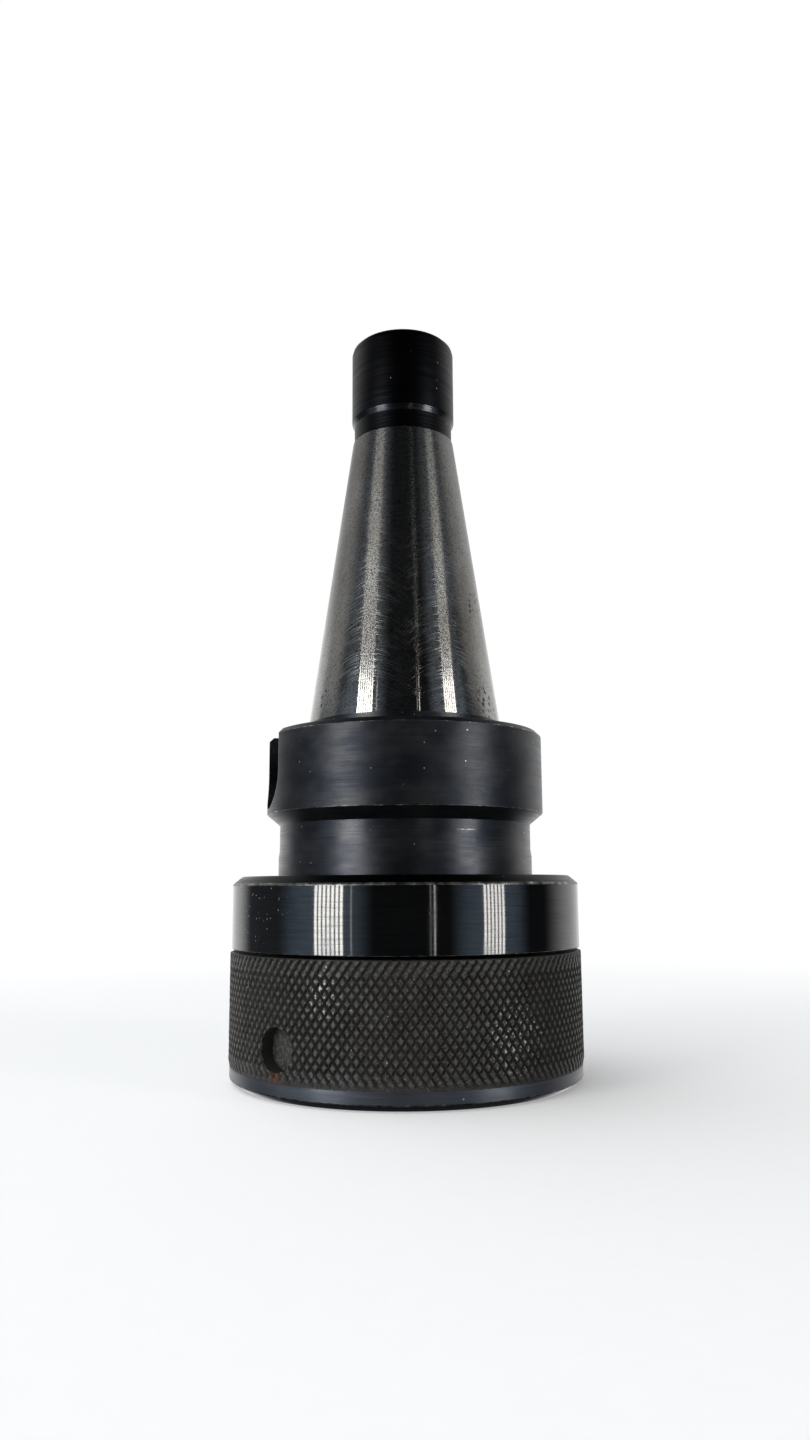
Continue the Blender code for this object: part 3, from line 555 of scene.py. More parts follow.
def knurled_black_oxide(colours, sizes):
    """Black oxide on a rolled knurl: matt dark grey, crests rubbed paler and at two places worn bright with
    painted glints, oily dirt and a little rust.
    """
    tree, shader, place = new_finish("knurled_black_oxide", 0.20)
    shader.inputs["Specular IOR Level"].default_value = 0.2
    fine = grain(tree, place, 0.5 * MM, 0.5 * MM, 4.0)
    patches = grain(tree, place, 5 * MM, 5 * MM, 3.0)
    dirty = add_node(tree, "MapRange", {0: patches, 1: 0.35, 2: 0.70})
    out, radius = off_axis(tree, place), sizes.radius
    crest = add_node(tree, "MapRange", {0: out, 1: radius + 0.08 * MM, 2: radius + 0.24 * MM})
    # The floors of the spanner holes and the faces inside the nut are as bare as the crests
    hole_floor = radius - sizes.spanner_depth
    ends = {0: out, 1: hole_floor + 0.5 * MM, 2: hole_floor + 0.3 * MM}
    inside = add_node(tree, "MapRange", ends)
    bare = add_node(tree, "Math", {0: crest, 1: inside}, operation="MAXIMUM")
    speckled = add_node(tree, "MapRange", {0: fine, 1: 0.44, 2: 0.60})
    bare = add_node(tree, "Math", {0: bare, 1: speckled}, operation="MULTIPLY")
    # Crests worn bright at two places, which are also painted glints where the lamps reflect on the knurl
    worn = near_places(tree, place, radius, KNURL_WEAR_AND_PAINTED_GLINTS)
    glint = add_node(tree, "MapRange", {0: fine, 1: 0.56, 2: 0.62})
    for mask in (bare, glint):
        worn = add_node(tree, "Math", {0: worn, 1: mask}, operation="MULTIPLY")
    dust = specks(tree, place, 1.7 * MM, 0.15 * MM, 0.20)
    under_hole = sizes.ball_row_height - 5.3 * MM
    stained = (-degrees(sizes.spanner_heading), under_hole, 0.5 * MM, 2.6 * MM)
    stain = near_places(tree, place, radius, (stained,))
    rust = add_node(tree, "MapRange", {0: fine, 1: 0.42, 2: 0.60})
    rust = add_node(tree, "Math", {0: stain, 1: rust}, operation="MULTIPLY")
    base = colours.knurl
    for mask, over in (
        (dirty, colours.knurl_dirt),
        (bare, colours.knurl_crest),
        (worn, colours.bright),
        (dust, colours.dust),
        (rust, colours.rust),
    ):
        base = add_node(tree, "Mix", {0: mask, 6: base, 7: over}, 2, data_type="RGBA")
    rough = add_node(tree, "MapRange", {0: fine, 1: 0.3, 2: 0.7, 3: 0.36, 4: 0.52})
    set_surface(tree, shader, base, rough, fine, 0.06 * MM)


def rubbed_edge_steel(colours):
    """Edge from which handling has rubbed the coating: thin grey steel with a few bright chips."""
    tree, shader, place = new_finish("rubbed_edge_steel", 0.9)
    patches = grain(tree, place, 1.6 * MM, 1.6 * MM, 5.0)
    thin = add_node(tree, "MapRange", {0: patches, 1: 0.34, 2: 0.60})
    chips = add_node(tree, "MapRange", {0: patches, 1: 0.63, 2: 0.70})
    base = colours.oxide
    for mask, over in ((thin, colours.edge), (chips, colours.bright)):
        base = add_node(tree, "Mix", {0: mask, 6: base, 7: over}, 2, data_type="RGBA")
    rough = add_node(tree, "MapRange", {0: patches, 1: 0.3, 2: 0.7, 3: 0.42, 4: 0.30})
    set_surface(tree, shader, base, rough, patches, 0.008 * MM)


def ground_spring_steel(colours):
    """Hardened spring steel, ground: mid grey with grinding lines and a thin film of oil."""
    tree, shader, place = new_finish("ground_spring_steel", 1.0, anisotropic=0.5)
    # Grinding lines are 0.05 mm apart on the real part and are drawn at 0.3 mm so that they show
    lines = grain(tree, place, 20 * MM, 0.3 * MM, 3.0)
    patches = grain(tree, place, 8 * MM, 8 * MM, 3.0)
    film = add_node(tree, "MapRange", {0: patches, 1: 0.40, 2: 0.70})
    base = add_node(tree, "Mix", {0: film, 6: colours.spring, 7: colours.tarnished}, 2, data_type="RGBA")
    rough = add_node(tree, "MapRange", {0: lines, 1: 0.3, 2: 0.7, 3: 0.22, 4: 0.32})
    set_surface(tree, shader, base, rough, lines, 0.004 * MM)


def polished_ball_steel(colours):
    """Polished ball steel under grease: bright, with faint smears."""
    tree, shader, place = new_finish("polished_ball_steel", 1.0)
    patches = grain(tree, place, 1.5 * MM, 1.5 * MM, 2.0)
    smear = add_node(tree, "MapRange", {0: patches, 1: 0.45, 2: 0.75})
    base = add_node(tree, "Mix", {0: smear, 6: colours.ball, 7: colours.spring}, 2, data_type="RGBA")
    rough = add_node(tree, "Math", {0: smear, 1: 0.12, 2: 0.06}, operation="MULTIPLY_ADD")
    set_surface(tree, shader, base, rough, smear, 0.001 * MM)


def pale_floor(colours, stage):
    """Matt pale paper that runs out into the white of the background."""
    material = bpy.data.materials.new("pale_floor")
    material.use_nodes = True
    tree = material.node_tree
    shader = tree.nodes["Principled BSDF"]
    place = add_node(tree, "TexCoord", output="Object")
    fibre = grain(tree, place, 4 * MM, 4 * MM, 4.0)
    away = add_node(tree, "VectorMath", {0: place}, "Value", operation="LENGTH")
    ends = {0: away, 1: stage.floor_clear, 2: stage.floor_white}
    fade = add_node(tree, "MapRange", ends, interpolation_type="SMOOTHSTEP")
    base = colours.floor
    for mask, over in ((fibre, colours.floor_fibre), (fade, (0.0, 0.0, 0.0))):
        base = add_node(tree, "Mix", {0: mask, 6: base, 7: over}, 2, data_type="RGBA")
    tree.links.new(base, shader.inputs["Base Color"])
    shader.inputs["Roughness"].default_value = 0.9
    shader.inputs["Emission Color"].default_value = (1.0, 1.0, 1.0, 1.0)
    rays = add_node(tree, "LightPath").node.outputs
    seen = rays["Is Camera Ray"]
    for name in ("Is Glossy Ray", "Is Transmission Ray"):
        seen = add_node(tree, "Math", {0: seen, 1: rays[name]}, operation="MAXIMUM")
    lift = add_node(tree, "MapRange", {0: fade, 3: stage.floor_lift, 4: 1.0})
    lift = add_node(tree, "Math", {0: seen, 1: lift}, operation="MULTIPLY")
    tree.links.new(lift, shader.inputs["Emission Strength"])


def softened(corners, steps=3):
    """Points of a closed section whose corners are turned into arcs.

    A corner is (radius, height, edge radius, finish) and a rubbed one has the finish of its arc added. The
    result is (radius, height, finish), where a finish is that of the face up to the next point.
    """
    points = []
    for index, (radius, height, edge, finish, *rubbed) in enumerate(corners):
        corner = Vector((radius, height))
        if not edge:
            points.append((radius, height, finish))
            continue
        before = (Vector(corners[index - 1][:2]) - corner).normalized()
        after = (Vector(corners[(index + 1) % len(corners)][:2]) - corner).normalized()
        half = before.angle(after) / 2
        centre = corner + (before + after).normalized() * (edge / sin(half))
        start = corner + before * (edge / tan(half)) - centre
        end = corner + after * (edge / tan(half)) - centre
        sweep = start.angle_signed(end)
        arc_finish = rubbed[0] if rubbed else finish
        for step in range(steps + 1):
            spot = centre + Matrix.Rotation(-sweep * step / steps, 2) @ start
            points.append((spot.x, spot.y, finish if step == steps else arc_finish))
    return points


def circle(radius, facets):
    """Points of a circle in its plane."""
    turns = [2 * pi * index / facets for index in range(facets)]
    return [(radius * cos(a), radius * sin(a)) for a in turns]


def add_ring(builder, radius, height, facets):
    """Ring of vertices round the axis."""
    return [builder.verts.new((x, y, height)) for x, y in circle(radius, facets)]


def bridge(builder, lower, upper, finish):
    """Faces between two rings, with one finish."""
    count = len(lower)
    for index in range(count):
        after = (index + 1) % count
        face = builder.faces.new((lower[index], lower[after], upper[after], upper[index]))
        face.material_index = finish


def bridge_points(builder, rings, points):
    """Faces from each ring to the next, with the finish of the point that the first ring stands for."""
    for ring, following, (_, _, finish) in zip(rings, rings[1:], points):
        bridge(builder, ring, following, finish)


def turned_piece(corners, facets):
    """Closed turned body from its section."""
    builder = bmesh.new()
    points = softened(corners)
    rings = [add_ring(builder, radius, height, facets) for radius, height, _ in points]
    bridge_points(builder, rings + rings[:1], points)
    return builder


def finish_mesh(name, builder, finishes, sharp=32.0):
    """Smooth-shaded mesh with outward faces, whose edges past an angle in degrees are sharp."""
    bmesh.ops.recalc_face_normals(builder, faces=builder.faces)
    mesh = bpy.data.meshes.new(name)
    builder.to_mesh(mesh)
    builder.free()
    mesh.shade_smooth()
    mesh.set_sharp_from_angle(angle=radians(sharp))
    for finish in finishes:
        mesh.materials.append(bpy.data.materials[finish])
    return mesh


def add_thread(builder, root, crest, pitch, bottom, top, share, finish, phase=0.0, facets=96):
    """Helical ridge between two heights whose crest runs out at both ends.

    The crest is farther from the axis than the root on a screw and nearer on a nut. The share is the
    ridge's width at its root as a share of the pitch.
    """
    steps = int((top - bottom) / pitch * facets)
    wide = share * pitch / 2
    narrow = wide - abs(crest - root) * tan(THREAD_FLANK)
    # The ridge's foot stands in the wall by a fifth of its height
    sink = (root - crest) * 0.2
    run_out = facets / 4
    previous = None
    for step in range(steps + 1):
        turn = 2 * pi * step / facets
        height = bottom + pitch * step / facets
        rise = min(1.0, step / run_out, (steps - step) / run_out)
        peak = root + (crest - root) * rise
        section = (
            (root + sink, -wide),
            (root, -wide),
            (peak, -narrow),
            (peak, narrow),
            (root, wide),
            (root + sink, wide),
        )
        loop = [
            builder.verts.new((r * cos(turn + phase), r * sin(turn + phase), height + offset))
            for r, offset in section
        ]
        if previous:
            for index, vertex in enumerate(loop):
                after = (index + 1) % len(loop)
                face = builder.faces.new((previous[index], previous[after], loop[after], vertex))
                face.material_index = finish
        else:
            builder.faces.new(loop).material_index = finish
        previous = loop
    builder.faces.new(previous).material_index = finish


def heading_turn(heading):
    """Angle about Z from +X to a heading that counts from -Y towards -X."""
    return -pi / 2 - heading


def prism(outline, inner, outer, turn, lift=0.0):
    """Closed prism from an outline of (across, height) points, standing off the axis."""
    builder = bmesh.new()
    near = [builder.verts.new((inner, across, height)) for across, height in outline]
    far = [builder.verts.new((outer, across, height)) for across, height in outline]
    bridge(builder, near, far, 0)
    builder.faces.new(near)
    builder.faces.new(far)
    bmesh.ops.transform(
        builder,
        matrix=Matrix.Rotation(turn, 4, "Z") @ Matrix.Translation((0.0, 0.0, lift)),
        verts=builder.verts,
    )
    return builder


def ball_groove(nut, wall, side, finish):
    """Section of the balls' groove in a wall that stands outside their circle (side 1) or inside (-1)."""
    middle, height, reach = nut.ball_pitch_radius, nut.ball_row_height, nut.groove_radius
    lift = atan2(side * (wall - middle), reach)
    first, steps = pi - side * pi / 2 - lift, 16
    arc = [first - (pi - 2 * lift) * step / steps for step in range(steps + 1)]
    return [(middle + reach * cos(a), height + reach * sin(a), 0.0, finish) for a in arc]


def cut_away(builder, cutters, finish, finishes, sharp=32.0):
    """Builder of a solid with the cutters taken away. New faces get the finish of that index."""
    tools = []
    for index, cutter in enumerate(cutters):
        for face in cutter.faces:
            face.material_index = finish
        tools.append((f"cutter_{index}", finish_mesh("cutter", cutter, finishes)))
    mesh = finish_mesh("blank", builder, finishes, sharp)
    blank, *tools = [bpy.data.objects.new(name, item) for name, item in (("blank", mesh), *tools)]
    for item in (blank, *tools):
        bpy.context.collection.objects.link(item)
    for tool in tools:
        modifier = blank.modifiers.new(tool.name, "BOOLEAN")
        modifier.operation = "DIFFERENCE"
        modifier.solver = "EXACT"
        modifier.object = tool
    bpy.context.view_layer.update()
    evaluated = blank.evaluated_get(bpy.context.evaluated_depsgraph_get())
    result = bpy.data.meshes.new_from_object(evaluated)
    for item in (blank, *tools):
        bpy.data.objects.remove(item, do_unlink=True)
    if len(result.polygons) <= len(mesh.polygons) // 2:
        raise RuntimeError("cutting left too little of the solid")
    cut = bmesh.new()
    cut.from_mesh(result)
    return cut


def add_piece(name, builder, body, node, finishes, sharp=32.0):
    """Puts a piece in place of a CAD node, riding on its body."""
    piece = bpy.data.objects.new(name, finish_mesh(name, builder, finishes, sharp))
    bpy.context.collection.objects.link(piece)
    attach(piece, body)
    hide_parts(node)


def add_knurl(builder, s, bottom, top):
    """Rolled diamond knurl with flat-topped diamonds. Returns its lowest and highest ring.

    The backward-leaning grooves start first and stop short of the rear. The forward-leaning ones start
    later and go right through.
    """
    steps = 2 * s.knurl_rows
    rise = (top - bottom) / steps
    half = pi / s.knurl_columns
    columns = s.knurl_columns
    chance = Random(11)

    def share(distance):
        return min(1.0, max(0.0, distance / s.run_out))

    def forward(height):
        return share(height - bottom - s.front_band)

    def backward(height):
        return min(share(height - bottom), share(top - s.rear_band - height))

    def point(column_halves, height, sunk):
        off = chance.uniform(-s.knurl_uneven, s.knurl_uneven) * share(height - bottom)
        crest = s.knurl_crest * share(height - bottom)
        radius = s.radius + crest - (s.knurl_crest + s.knurl_valley) * sunk + min(off, 0.0)
        turn = column_halves * half + off / s.radius
        return builder.verts.new((radius * cos(turn), radius * sin(turn), height))

    crossings = []
    for step in range(steps + 1):
        height = bottom + step * rise
        depth = max(forward(height), backward(height))
        shift = step % 2
        crossings.append([point(2 * c + shift, height, depth) for c in range(columns)])
    # Middles of the groove stretches that rise to the right and to the left from each crossing
    rising, falling = [], []
    for step in range(steps):
        height = bottom + (step + 0.5) * rise
        shift = step % 2
        rising.append([point(2 * c + shift + 0.5, height, forward(height)) for c in range(columns)])
        falling.append([point(2 * c + shift - 0.5, height, backward(height)) for c in range(columns)])

    def faces(*groups):
        for group in groups:
            builder.faces.new(group).material_index = 0

    flat = s.knurl_flat
    low_ring, high_ring = [], []
    for step in range(steps + 1):
        shift = step % 2
        height = bottom + step * rise
        for c in range(columns):
            left = crossings[step][c]
            right = crossings[step][(c + 1) % columns]
            middle = 2 * c + shift + 1
            beside = (c + shift) % columns
            west = point(middle - flat, height, 0.0)
            east = point(middle + flat, height, 0.0)
            if step > 0:
                below = crossings[step - 1][beside]
                south_west = falling[step - 1][beside]
                south_east = rising[step - 1][beside]
                south = point(middle, height - flat * rise, 0.0)
                faces(
                    (left, south_west, west),
                    (south_west, south, west),
                    (south_west, below, south),
                    (below, south_east, south),
                    (south_east, east, south),
                    (south_east, right, east),
                )
            if step < steps:
                above = crossings[step + 1][beside]
                north_west = rising[step][c]
                north_east = falling[step][(c + 1) % columns]
                north = point(middle, height + flat * rise, 0.0)
                faces(
                    (left, west, north_west),
                    (north_west, west, north),
                    (north_west, north, above),
                    (above, north, north_east),
                    (north_east, north, east),
                    (north_east, east, right),
                )
            if 0 < step < steps:
                faces((west, south, east, north))
            elif step == 0:
                faces((west, east, north))
                low_ring += [left, west, east]
            else:
                faces((west, south, east))
                high_ring += [left, west, east]
    return low_ring, high_ring


class CHUCK_OT_finishes(Operator):
    """Makes the procedural materials of all finishes"""

    bl_idname = "chuck.finishes"
    bl_label = "Finishes"

    def execute(self, context):
        scene = context.scene
        colours = scene.chuck_colours
        flange_black_oxide(colours, scene.chuck_holder)
        neck_black_oxide(colours, scene.chuck_holder)
        for name in ("turned_black_oxide", "smooth_black_oxide", "black_oxide_painted_shade", "satin_black_oxide"):
            turned_black_oxide(colours, name)
        ground_taper_steel(colours, scene.chuck_holder)
        polished_black_oxide(colours)
        knurled_black_oxide(colours, scene.chuck_nut)
        rubbed_edge_steel(colours)
        ground_spring_steel(colours)
        polished_ball_steel(colours)
        pale_floor(colours, scene.chuck_stage)
        return {"FINISHED"}


class CHUCK_OT_holder_body(Operator):
    """Builds the holder body with its taper, flange, drive slots, neck and nose thread"""

    bl_idname = "chuck.holder_body"
    bl_label = "Holder Body"

    def execute(self, context):
        s = context.scene.chuck_holder
        black, ground, rubbed, smooth, matt, rim, waist = range(7)
        edge = s.edge
        tail = BODY_HIGH.z
        relief_top = NUT_HIGH.z
        relief_bottom = relief_top - s.relief_width
        crest = s.thread_diameter / 2
        root = crest - SCREW_DEPTH * s.thread_pitch
        relief = root - s.relief_step
        land = s.land_diameter / 2
        land_top = COLLAR_HIGH.z + s.land_above
        neck = s.neck_diameter / 2
        flange = s.flange_diameter / 2
        gauge = s.gauge_diameter / 2
        taper_low = gauge + (s.gauge_height - s.taper_start) * TAPER_SLOPE
        taper_high = gauge - (s.taper_end - s.gauge_height) * TAPER_SLOPE
        tail_neck = taper_high - s.tail_neck_step
        pilot = s.pilot_diameter / 2
        drawbar = s.drawbar_bore / 2
        drawbar_root = s.drawbar_thread / 2
        drawbar_low = tail - s.drawbar_length
        stop = s.stop_bore / 2
        cavity = s.cavity_diameter / 2
        sink = s.countersink / 2
        mouth = s.seat_mouth / 2
        corners = [
            (root - s.nose_lead, s.nose_front, edge, black),
            (root, s.nose_front + s.nose_lead, 0.0, black),
            (root, relief_bottom, 0.0, black),
            (relief, relief_bottom + 2 * s.relief_step, s.relief_round, black),
            (relief, relief_top, s.relief_round, black),
            (land, relief_top, edge, black),
            (land, land_top, 0.0, black),
            (neck, land_top + s.land_run, 0.0, waist),
            (neck, s.flange_bottom - s.neck_chamfer, edge, black),
            (flange, s.flange_bottom, edge, rim, rubbed),
            (flange, s.flange_top - s.flange_chamfer, edge, rim, rubbed),
            (flange - s.flange_chamfer, s.flange_top, edge, black),
            (taper_low, s.flange_top, edge, black),
            (taper_low, s.taper_start, 0.0, ground),
            # From the taper's end up, the tail has the darker black oxide that paints its shade
            (taper_high, s.taper_end, edge * 0.7, matt, rubbed),
            (tail_neck, s.taper_end, 0.0, matt),
            (tail_neck, s.tail_neck_end, edge, smooth),
            (pilot, s.tail_neck_end + s.pilot_lead, edge, matt),
            (pilot, tail, s.pilot_round, matt),
            (sink, tail, edge, black),
            (drawbar_root, tail - (sink - drawbar_root) / tan(CENTRE_CONE), 0.0, black),
            (drawbar_root, drawbar_low, 0.0, black),
            (drawbar, drawbar_low - (drawbar_root - drawbar), 0.0, black),
            (drawbar, s.stop_end + (stop - drawbar) / tan(DRILL_POINT), 0.0, black),
            (stop, s.stop_end, 0.0, black),
            (stop, s.stop_start, 0.0, black),
            (cavity, s.cavity_end, 0.0, black),
            (cavity, s.seat_end, 0.0, black),
            (mouth - (s.seat_end - s.nose_front) * tan(SEAT_CONE), s.seat_end, 0.0, ground),
            (mouth, s.nose_front, edge, black),
        ]
        finishes = (
            "turned_black_oxide",
            "ground_taper_steel",
            "rubbed_edge_steel",
            "smooth_black_oxide",
            "black_oxide_painted_shade",
            "flange_black_oxide",
            "neck_black_oxide",
        )
        half = s.slot_width / 2
        centre = s.flange_top - s.slot_length + half
        steps = 24
        arc = [pi + pi * step / steps for step in range(steps + 1)]
        outline = [(half * cos(a), centre + half * sin(a)) for a in arc]
        outline += [(half, s.flange_top + PAST), (-half, s.flange_top + PAST)]
        cutters = [
            prism(outline, s.slot_floor, flange + PAST, heading_turn(s.slot_heading + turn))
            for turn in (0.0, pi)
        ]
        builder = cut_away(turned_piece(corners, s.facets), cutters, black, finishes)
        start, end = s.nose_front + s.thread_lead, relief_bottom - s.thread_pitch / 4
        add_thread(builder, root, crest, s.thread_pitch, start, end, HOLDER_RIDGE, black)
        pitch = s.drawbar_pitch
        start, end = drawbar_low + pitch / 2, tail - pitch / 2
        add_thread(builder, drawbar_root, drawbar, pitch, start, end, HOLDER_RIDGE, black, facets=64)
        add_piece("holder_shank", builder, "holder", "holder_body", finishes)
        return {"FINISHED"}


class CHUCK_OT_rear_collar(Operator):
    """Builds the polished ring between the neck and the closing nut"""

    bl_idname = "chuck.rear_collar"
    bl_label = "Rear Collar"

    def execute(self, context):
        s = context.scene.chuck_nut
        polished, rubbed, matt = range(3)
        low, high = COLLAR_LOW.z, COLLAR_HIGH.z
        corners = [
            (s.collar_bore, low, 0.0, polished),
            (s.radius - s.lip, low, s.edge, polished),
            (s.radius, low + s.lip, s.edge, polished, rubbed),
            # The rear chamfer has the darker black oxide that paints its shade
            (s.radius, high - s.collar_chamfer_height, s.collar_round, matt, rubbed),
            (s.radius - s.collar_chamfer, high, s.collar_round, matt),
            (s.collar_bore, high, s.edge, polished),
        ]
        builder = turned_piece(corners, s.collar_facets)
        finishes = ("polished_black_oxide", "rubbed_edge_steel", "black_oxide_painted_shade")
        add_piece("polished_collar", builder, "holder", "rear_collar", finishes)
        return {"FINISHED"}


class CHUCK_OT_closing_nut(Operator):
    """Builds the knurled closing nut with its spanner holes, ball groove and thread"""

    bl_idname = "chuck.closing_nut"
    bl_label = "Closing Nut"

    def execute(self, context):
        s = context.scene.chuck_nut
        thread = context.scene.chuck_holder
        knurl, polished, rubbed, steel, satin = range(5)
        builder = bmesh.new()
        band_top = s.front_chamfer_height + s.plain_band
        low, high = add_knurl(builder, s, band_top, s.width - s.lip)
        crest = thread.thread_diameter / 2 - NUT_DEPTH * thread.thread_pitch
        root = thread.thread_diameter / 2 + s.thread_gap
        corners = [
            (s.radius - s.lip, s.width, s.edge, knurl),
            (root + s.thread_chamfer, s.width, s.edge, knurl),
            (root, s.width - s.thread_chamfer, 0.0, knurl),
            (root, s.shoulder, 0.0, steel),
            (s.bore_radius, s.shoulder, 0.0, steel),
            *ball_groove(s, s.bore_radius, 1, steel),
            (s.bore_radius, s.bore_chamfer, s.edge, steel),
            (s.bore_radius + s.bore_chamfer, 0.0, 0.0, knurl),
            (s.radius - s.front_chamfer, 0.0, s.edge, polished),
            (s.radius, s.front_chamfer_height, 2 * s.edge, satin, rubbed),
            (s.radius, band_top - s.edge, 0.0, satin),
        ]
        points = softened([(s.radius, band_top, 0.0, knurl), *corners])[1:]
        rings = [add_ring(builder, radius, height, len(low)) for radius, height, _ in points]
        bridge(builder, high, rings[0], knurl)
        bridge_points(builder, rings, points)
        bridge(builder, rings[-1], low, satin)
        finishes = (
            "knurled_black_oxide",
            "polished_black_oxide",
            "rubbed_edge_steel",
            "ground_spring_steel",
            "satin_black_oxide",
        )
        sharp = 20.0
        floor = s.radius - s.spanner_depth
        hole, filler = circle(s.spanner_hole / 2, 64), circle(s.filler_hole / 2, 48)
        near_turn, height = heading_turn(s.spanner_heading), s.ball_row_height
        cutters = [
            prism(hole, floor, s.radius + PAST, near_turn, height),
            prism(hole, floor, s.radius + PAST, near_turn + pi, height),
            prism(filler, s.ball_pitch_radius, floor + PAST / 2, near_turn + pi, height),
        ]
        builder = cut_away(builder, cutters, knurl, finishes, sharp)
        # The ridge lies half a pitch from the holder's, so that the two threads mesh
        start, end, pitch = s.shoulder + s.thread_lead, s.width - s.thread_end, thread.thread_pitch
        phase = 2 * pi * (start - thread.nose_front - thread.thread_lead) / pitch - pi
        add_thread(builder, root, crest, pitch, start, end, NUT_RIDGE, knurl, phase)
        add_piece("knurled_nut", builder, "closing_nut", "closing_nut", finishes, sharp)
        return {"FINISHED"}


class CHUCK_OT_nose_ring(Operator):
    """Builds the ring that pushes the collet back and draws it out"""

    bl_idname = "chuck.nose_ring"
    bl_label = "Nose Ring"

    def execute(self, context):
        s = context.scene.chuck_collet
        nut = context.scene.chuck_nut
        holder = context.scene.chuck_holder
        steel = 0
        mouth = holder.seat_mouth / 2
        cone_gap = s.seat_gap / cos(FRONT_CONE)
        pocket = mouth + cone_gap
        low, high = RING_LOW.z, RING_HIGH.z
        lip_low = s.groove_bottom + s.sliding_gap
        lip_high = s.groove_top - s.sliding_gap
        lip = mouth - s.groove_depth + 2 * s.sliding_gap
        relief = mouth + (holder.nose_front - lip_high) * tan(SEAT_CONE) + s.sliding_gap
        corners = [
            (mouth - (s.cone_end - low) * tan(FRONT_CONE) + cone_gap, low, s.edge, steel),
            (s.ring_radius, low, s.edge, steel),
            *ball_groove(nut, s.ring_radius, -1, steel),
            (s.ring_radius, high, 0.0, steel),
            (relief, high, 0.0, steel),
            (relief, lip_high, 0.0, steel),
            (lip, lip_high, 0.0, steel),
            (lip, lip_low, 0.0, steel),
            (pocket, lip_low, 0.0, steel),
            (pocket, s.cone_end, 0.0, steel),
        ]
        builder = turned_piece(corners, s.facets)
        slot, finishes = "hardened_spring_steel", ("ground_spring_steel",)
        add_piece("push_ring", builder, "collet_set", "nose_ring", finishes)
        return {"FINISHED"}


class CHUCK_OT_collet(Operator):
    """Builds the spring collet with slots from both ends"""

    bl_idname = "chuck.collet"
    bl_label = "Collet"

    def execute(self, context):
        s = context.scene.chuck_collet
        holder = context.scene.chuck_holder
        steel = 0
        mouth = holder.seat_mouth / 2
        gap = s.seat_gap / cos(SEAT_CONE)
        low, high = COLLET_LOW.z, COLLET_HIGH.z
        seat_low = s.groove_top + s.sliding_gap
        bore = s.bore / 2

        def seat(height):
            return mouth - (height - holder.nose_front) * tan(SEAT_CONE) - gap

        corners = [
            (bore, low, s.edge, steel),
            (mouth - (s.cone_end - low) * tan(FRONT_CONE), low, s.edge, steel),
            (mouth, s.cone_end, s.edge, steel),
            (mouth, s.groove_bottom, s.edge, steel),
            (mouth - s.groove_depth, s.groove_bottom, 0.0, steel),
            (mouth - s.groove_depth, s.groove_top, 0.0, steel),
            (seat(seat_low), seat_low, s.edge * 0.5, steel),
            (seat(high), high, s.edge, steel),
            (bore, high, s.edge, steel),
        ]
        width = s.slot_width / 2
        between = pi / s.slots
        front = (low - PAST, high - s.uncut_rear, s.first_slot)
        rear = (low + s.uncut_front, high + PAST, s.first_slot + between)
        cutters = []
        for bottom, top, first in (front, rear):
            outline = [(-width, bottom), (width, bottom), (width, top), (-width, top)]
            for index in range(s.slots):
                cutters.append(prism(outline, bore - PAST, mouth + PAST, first + 2 * between * index))
        slot, finishes = "hardened_spring_steel", ("ground_spring_steel",)
        builder = cut_away(turned_piece(corners, s.facets), cutters, steel, finishes)
        add_piece("spring_collet", builder, "collet_set", "collet", finishes)
        return {"FINISHED"}


# Starts of the names of the CAD nodes that stay, and their finishes
SMALL_PARTS = {
    "ball_": "polished_ball_steel",
    "stop_screw": "turned_black_oxide",
    "filler_plug": "ground_spring_steel",
}


class CHUCK_OT_small_parts(Operator):
    """Gives the balls, the stop screw and the filler plug their finishes"""

    bl_idname = "chuck.small_parts"
    bl_label = "Balls, Screw and Plug"

    def execute(self, context):
        for name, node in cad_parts.items():
            for start, finish in SMALL_PARTS.items():
                if name.startswith(start):
                    for slot in node.material_slots:
                        slot.material = bpy.data.materials[finish]
        return {"FINISHED"}


# Heading in degrees from -Y towards +X, radiance as a share of a full tube's, and width in degrees
LAMP_TUBES = (
    *((-57.5 + 2.92 * index, 1.0, 1.75) for index in range(7)),
    *((50.5 + 2.6 * index, 0.85, 1.5) for index in range(6)),
    (18.0, 0.42, 0.8),
    (15.4, 0.12, 0.7),
    (-33.6, 0.16, 0.9),
)
# Soft lights that metal sees. Heading in degrees from -Y towards +X, half widths in degrees at which a
# light is full and gone, sines of the elevations at which it is full and gone, strength and colour
SOFT_LIGHTS = (
    # Panel behind at the left, its wide upper part and a window beside it
    (-150.0, 12.0, 32.0, 0.15, 0.50, 1.10, "#ffffff"),
    (-160.0, 50.0, 84.0, 0.45, 0.10, 0.22, "#ffffff"),
    (-113.0, 8.0, 30.0, 0.45, 0.10, 0.60, "#ffffff"),
    # The same at the right
    (145.0, 14.0, 46.0, 0.15, 0.50, 0.93, "#ffffff"),
    (160.0, 45.0, 84.0, 0.45, 0.10, 0.34, "#ffffff"),
    (113.0, 8.0, 32.0, 0.45, 0.10, 0.42, "#ffffff"),
    # Side wall at the left
    (-107.0, 14.0, 26.0, 0.20, 0.60, 0.15, "#c8d4e6"),
    # Bluish glow round each group of lamp tubes
    (-55.0, 8.0, 36.0, 0.10, 0.45, 1.30, "#a5bbd3"),
    (57.0, 8.0, 30.0, 0.10, 0.45, 1.12, "#a5bbd3"),
    # The glow is neutral higher up
    (-55.0, 8.0, 36.0, 0.45, 0.10, 0.35, "#d2d5da"),
    (57.0, 8.0, 30.0, 0.45, 0.10, 0.35, "#d2d5da"),
)


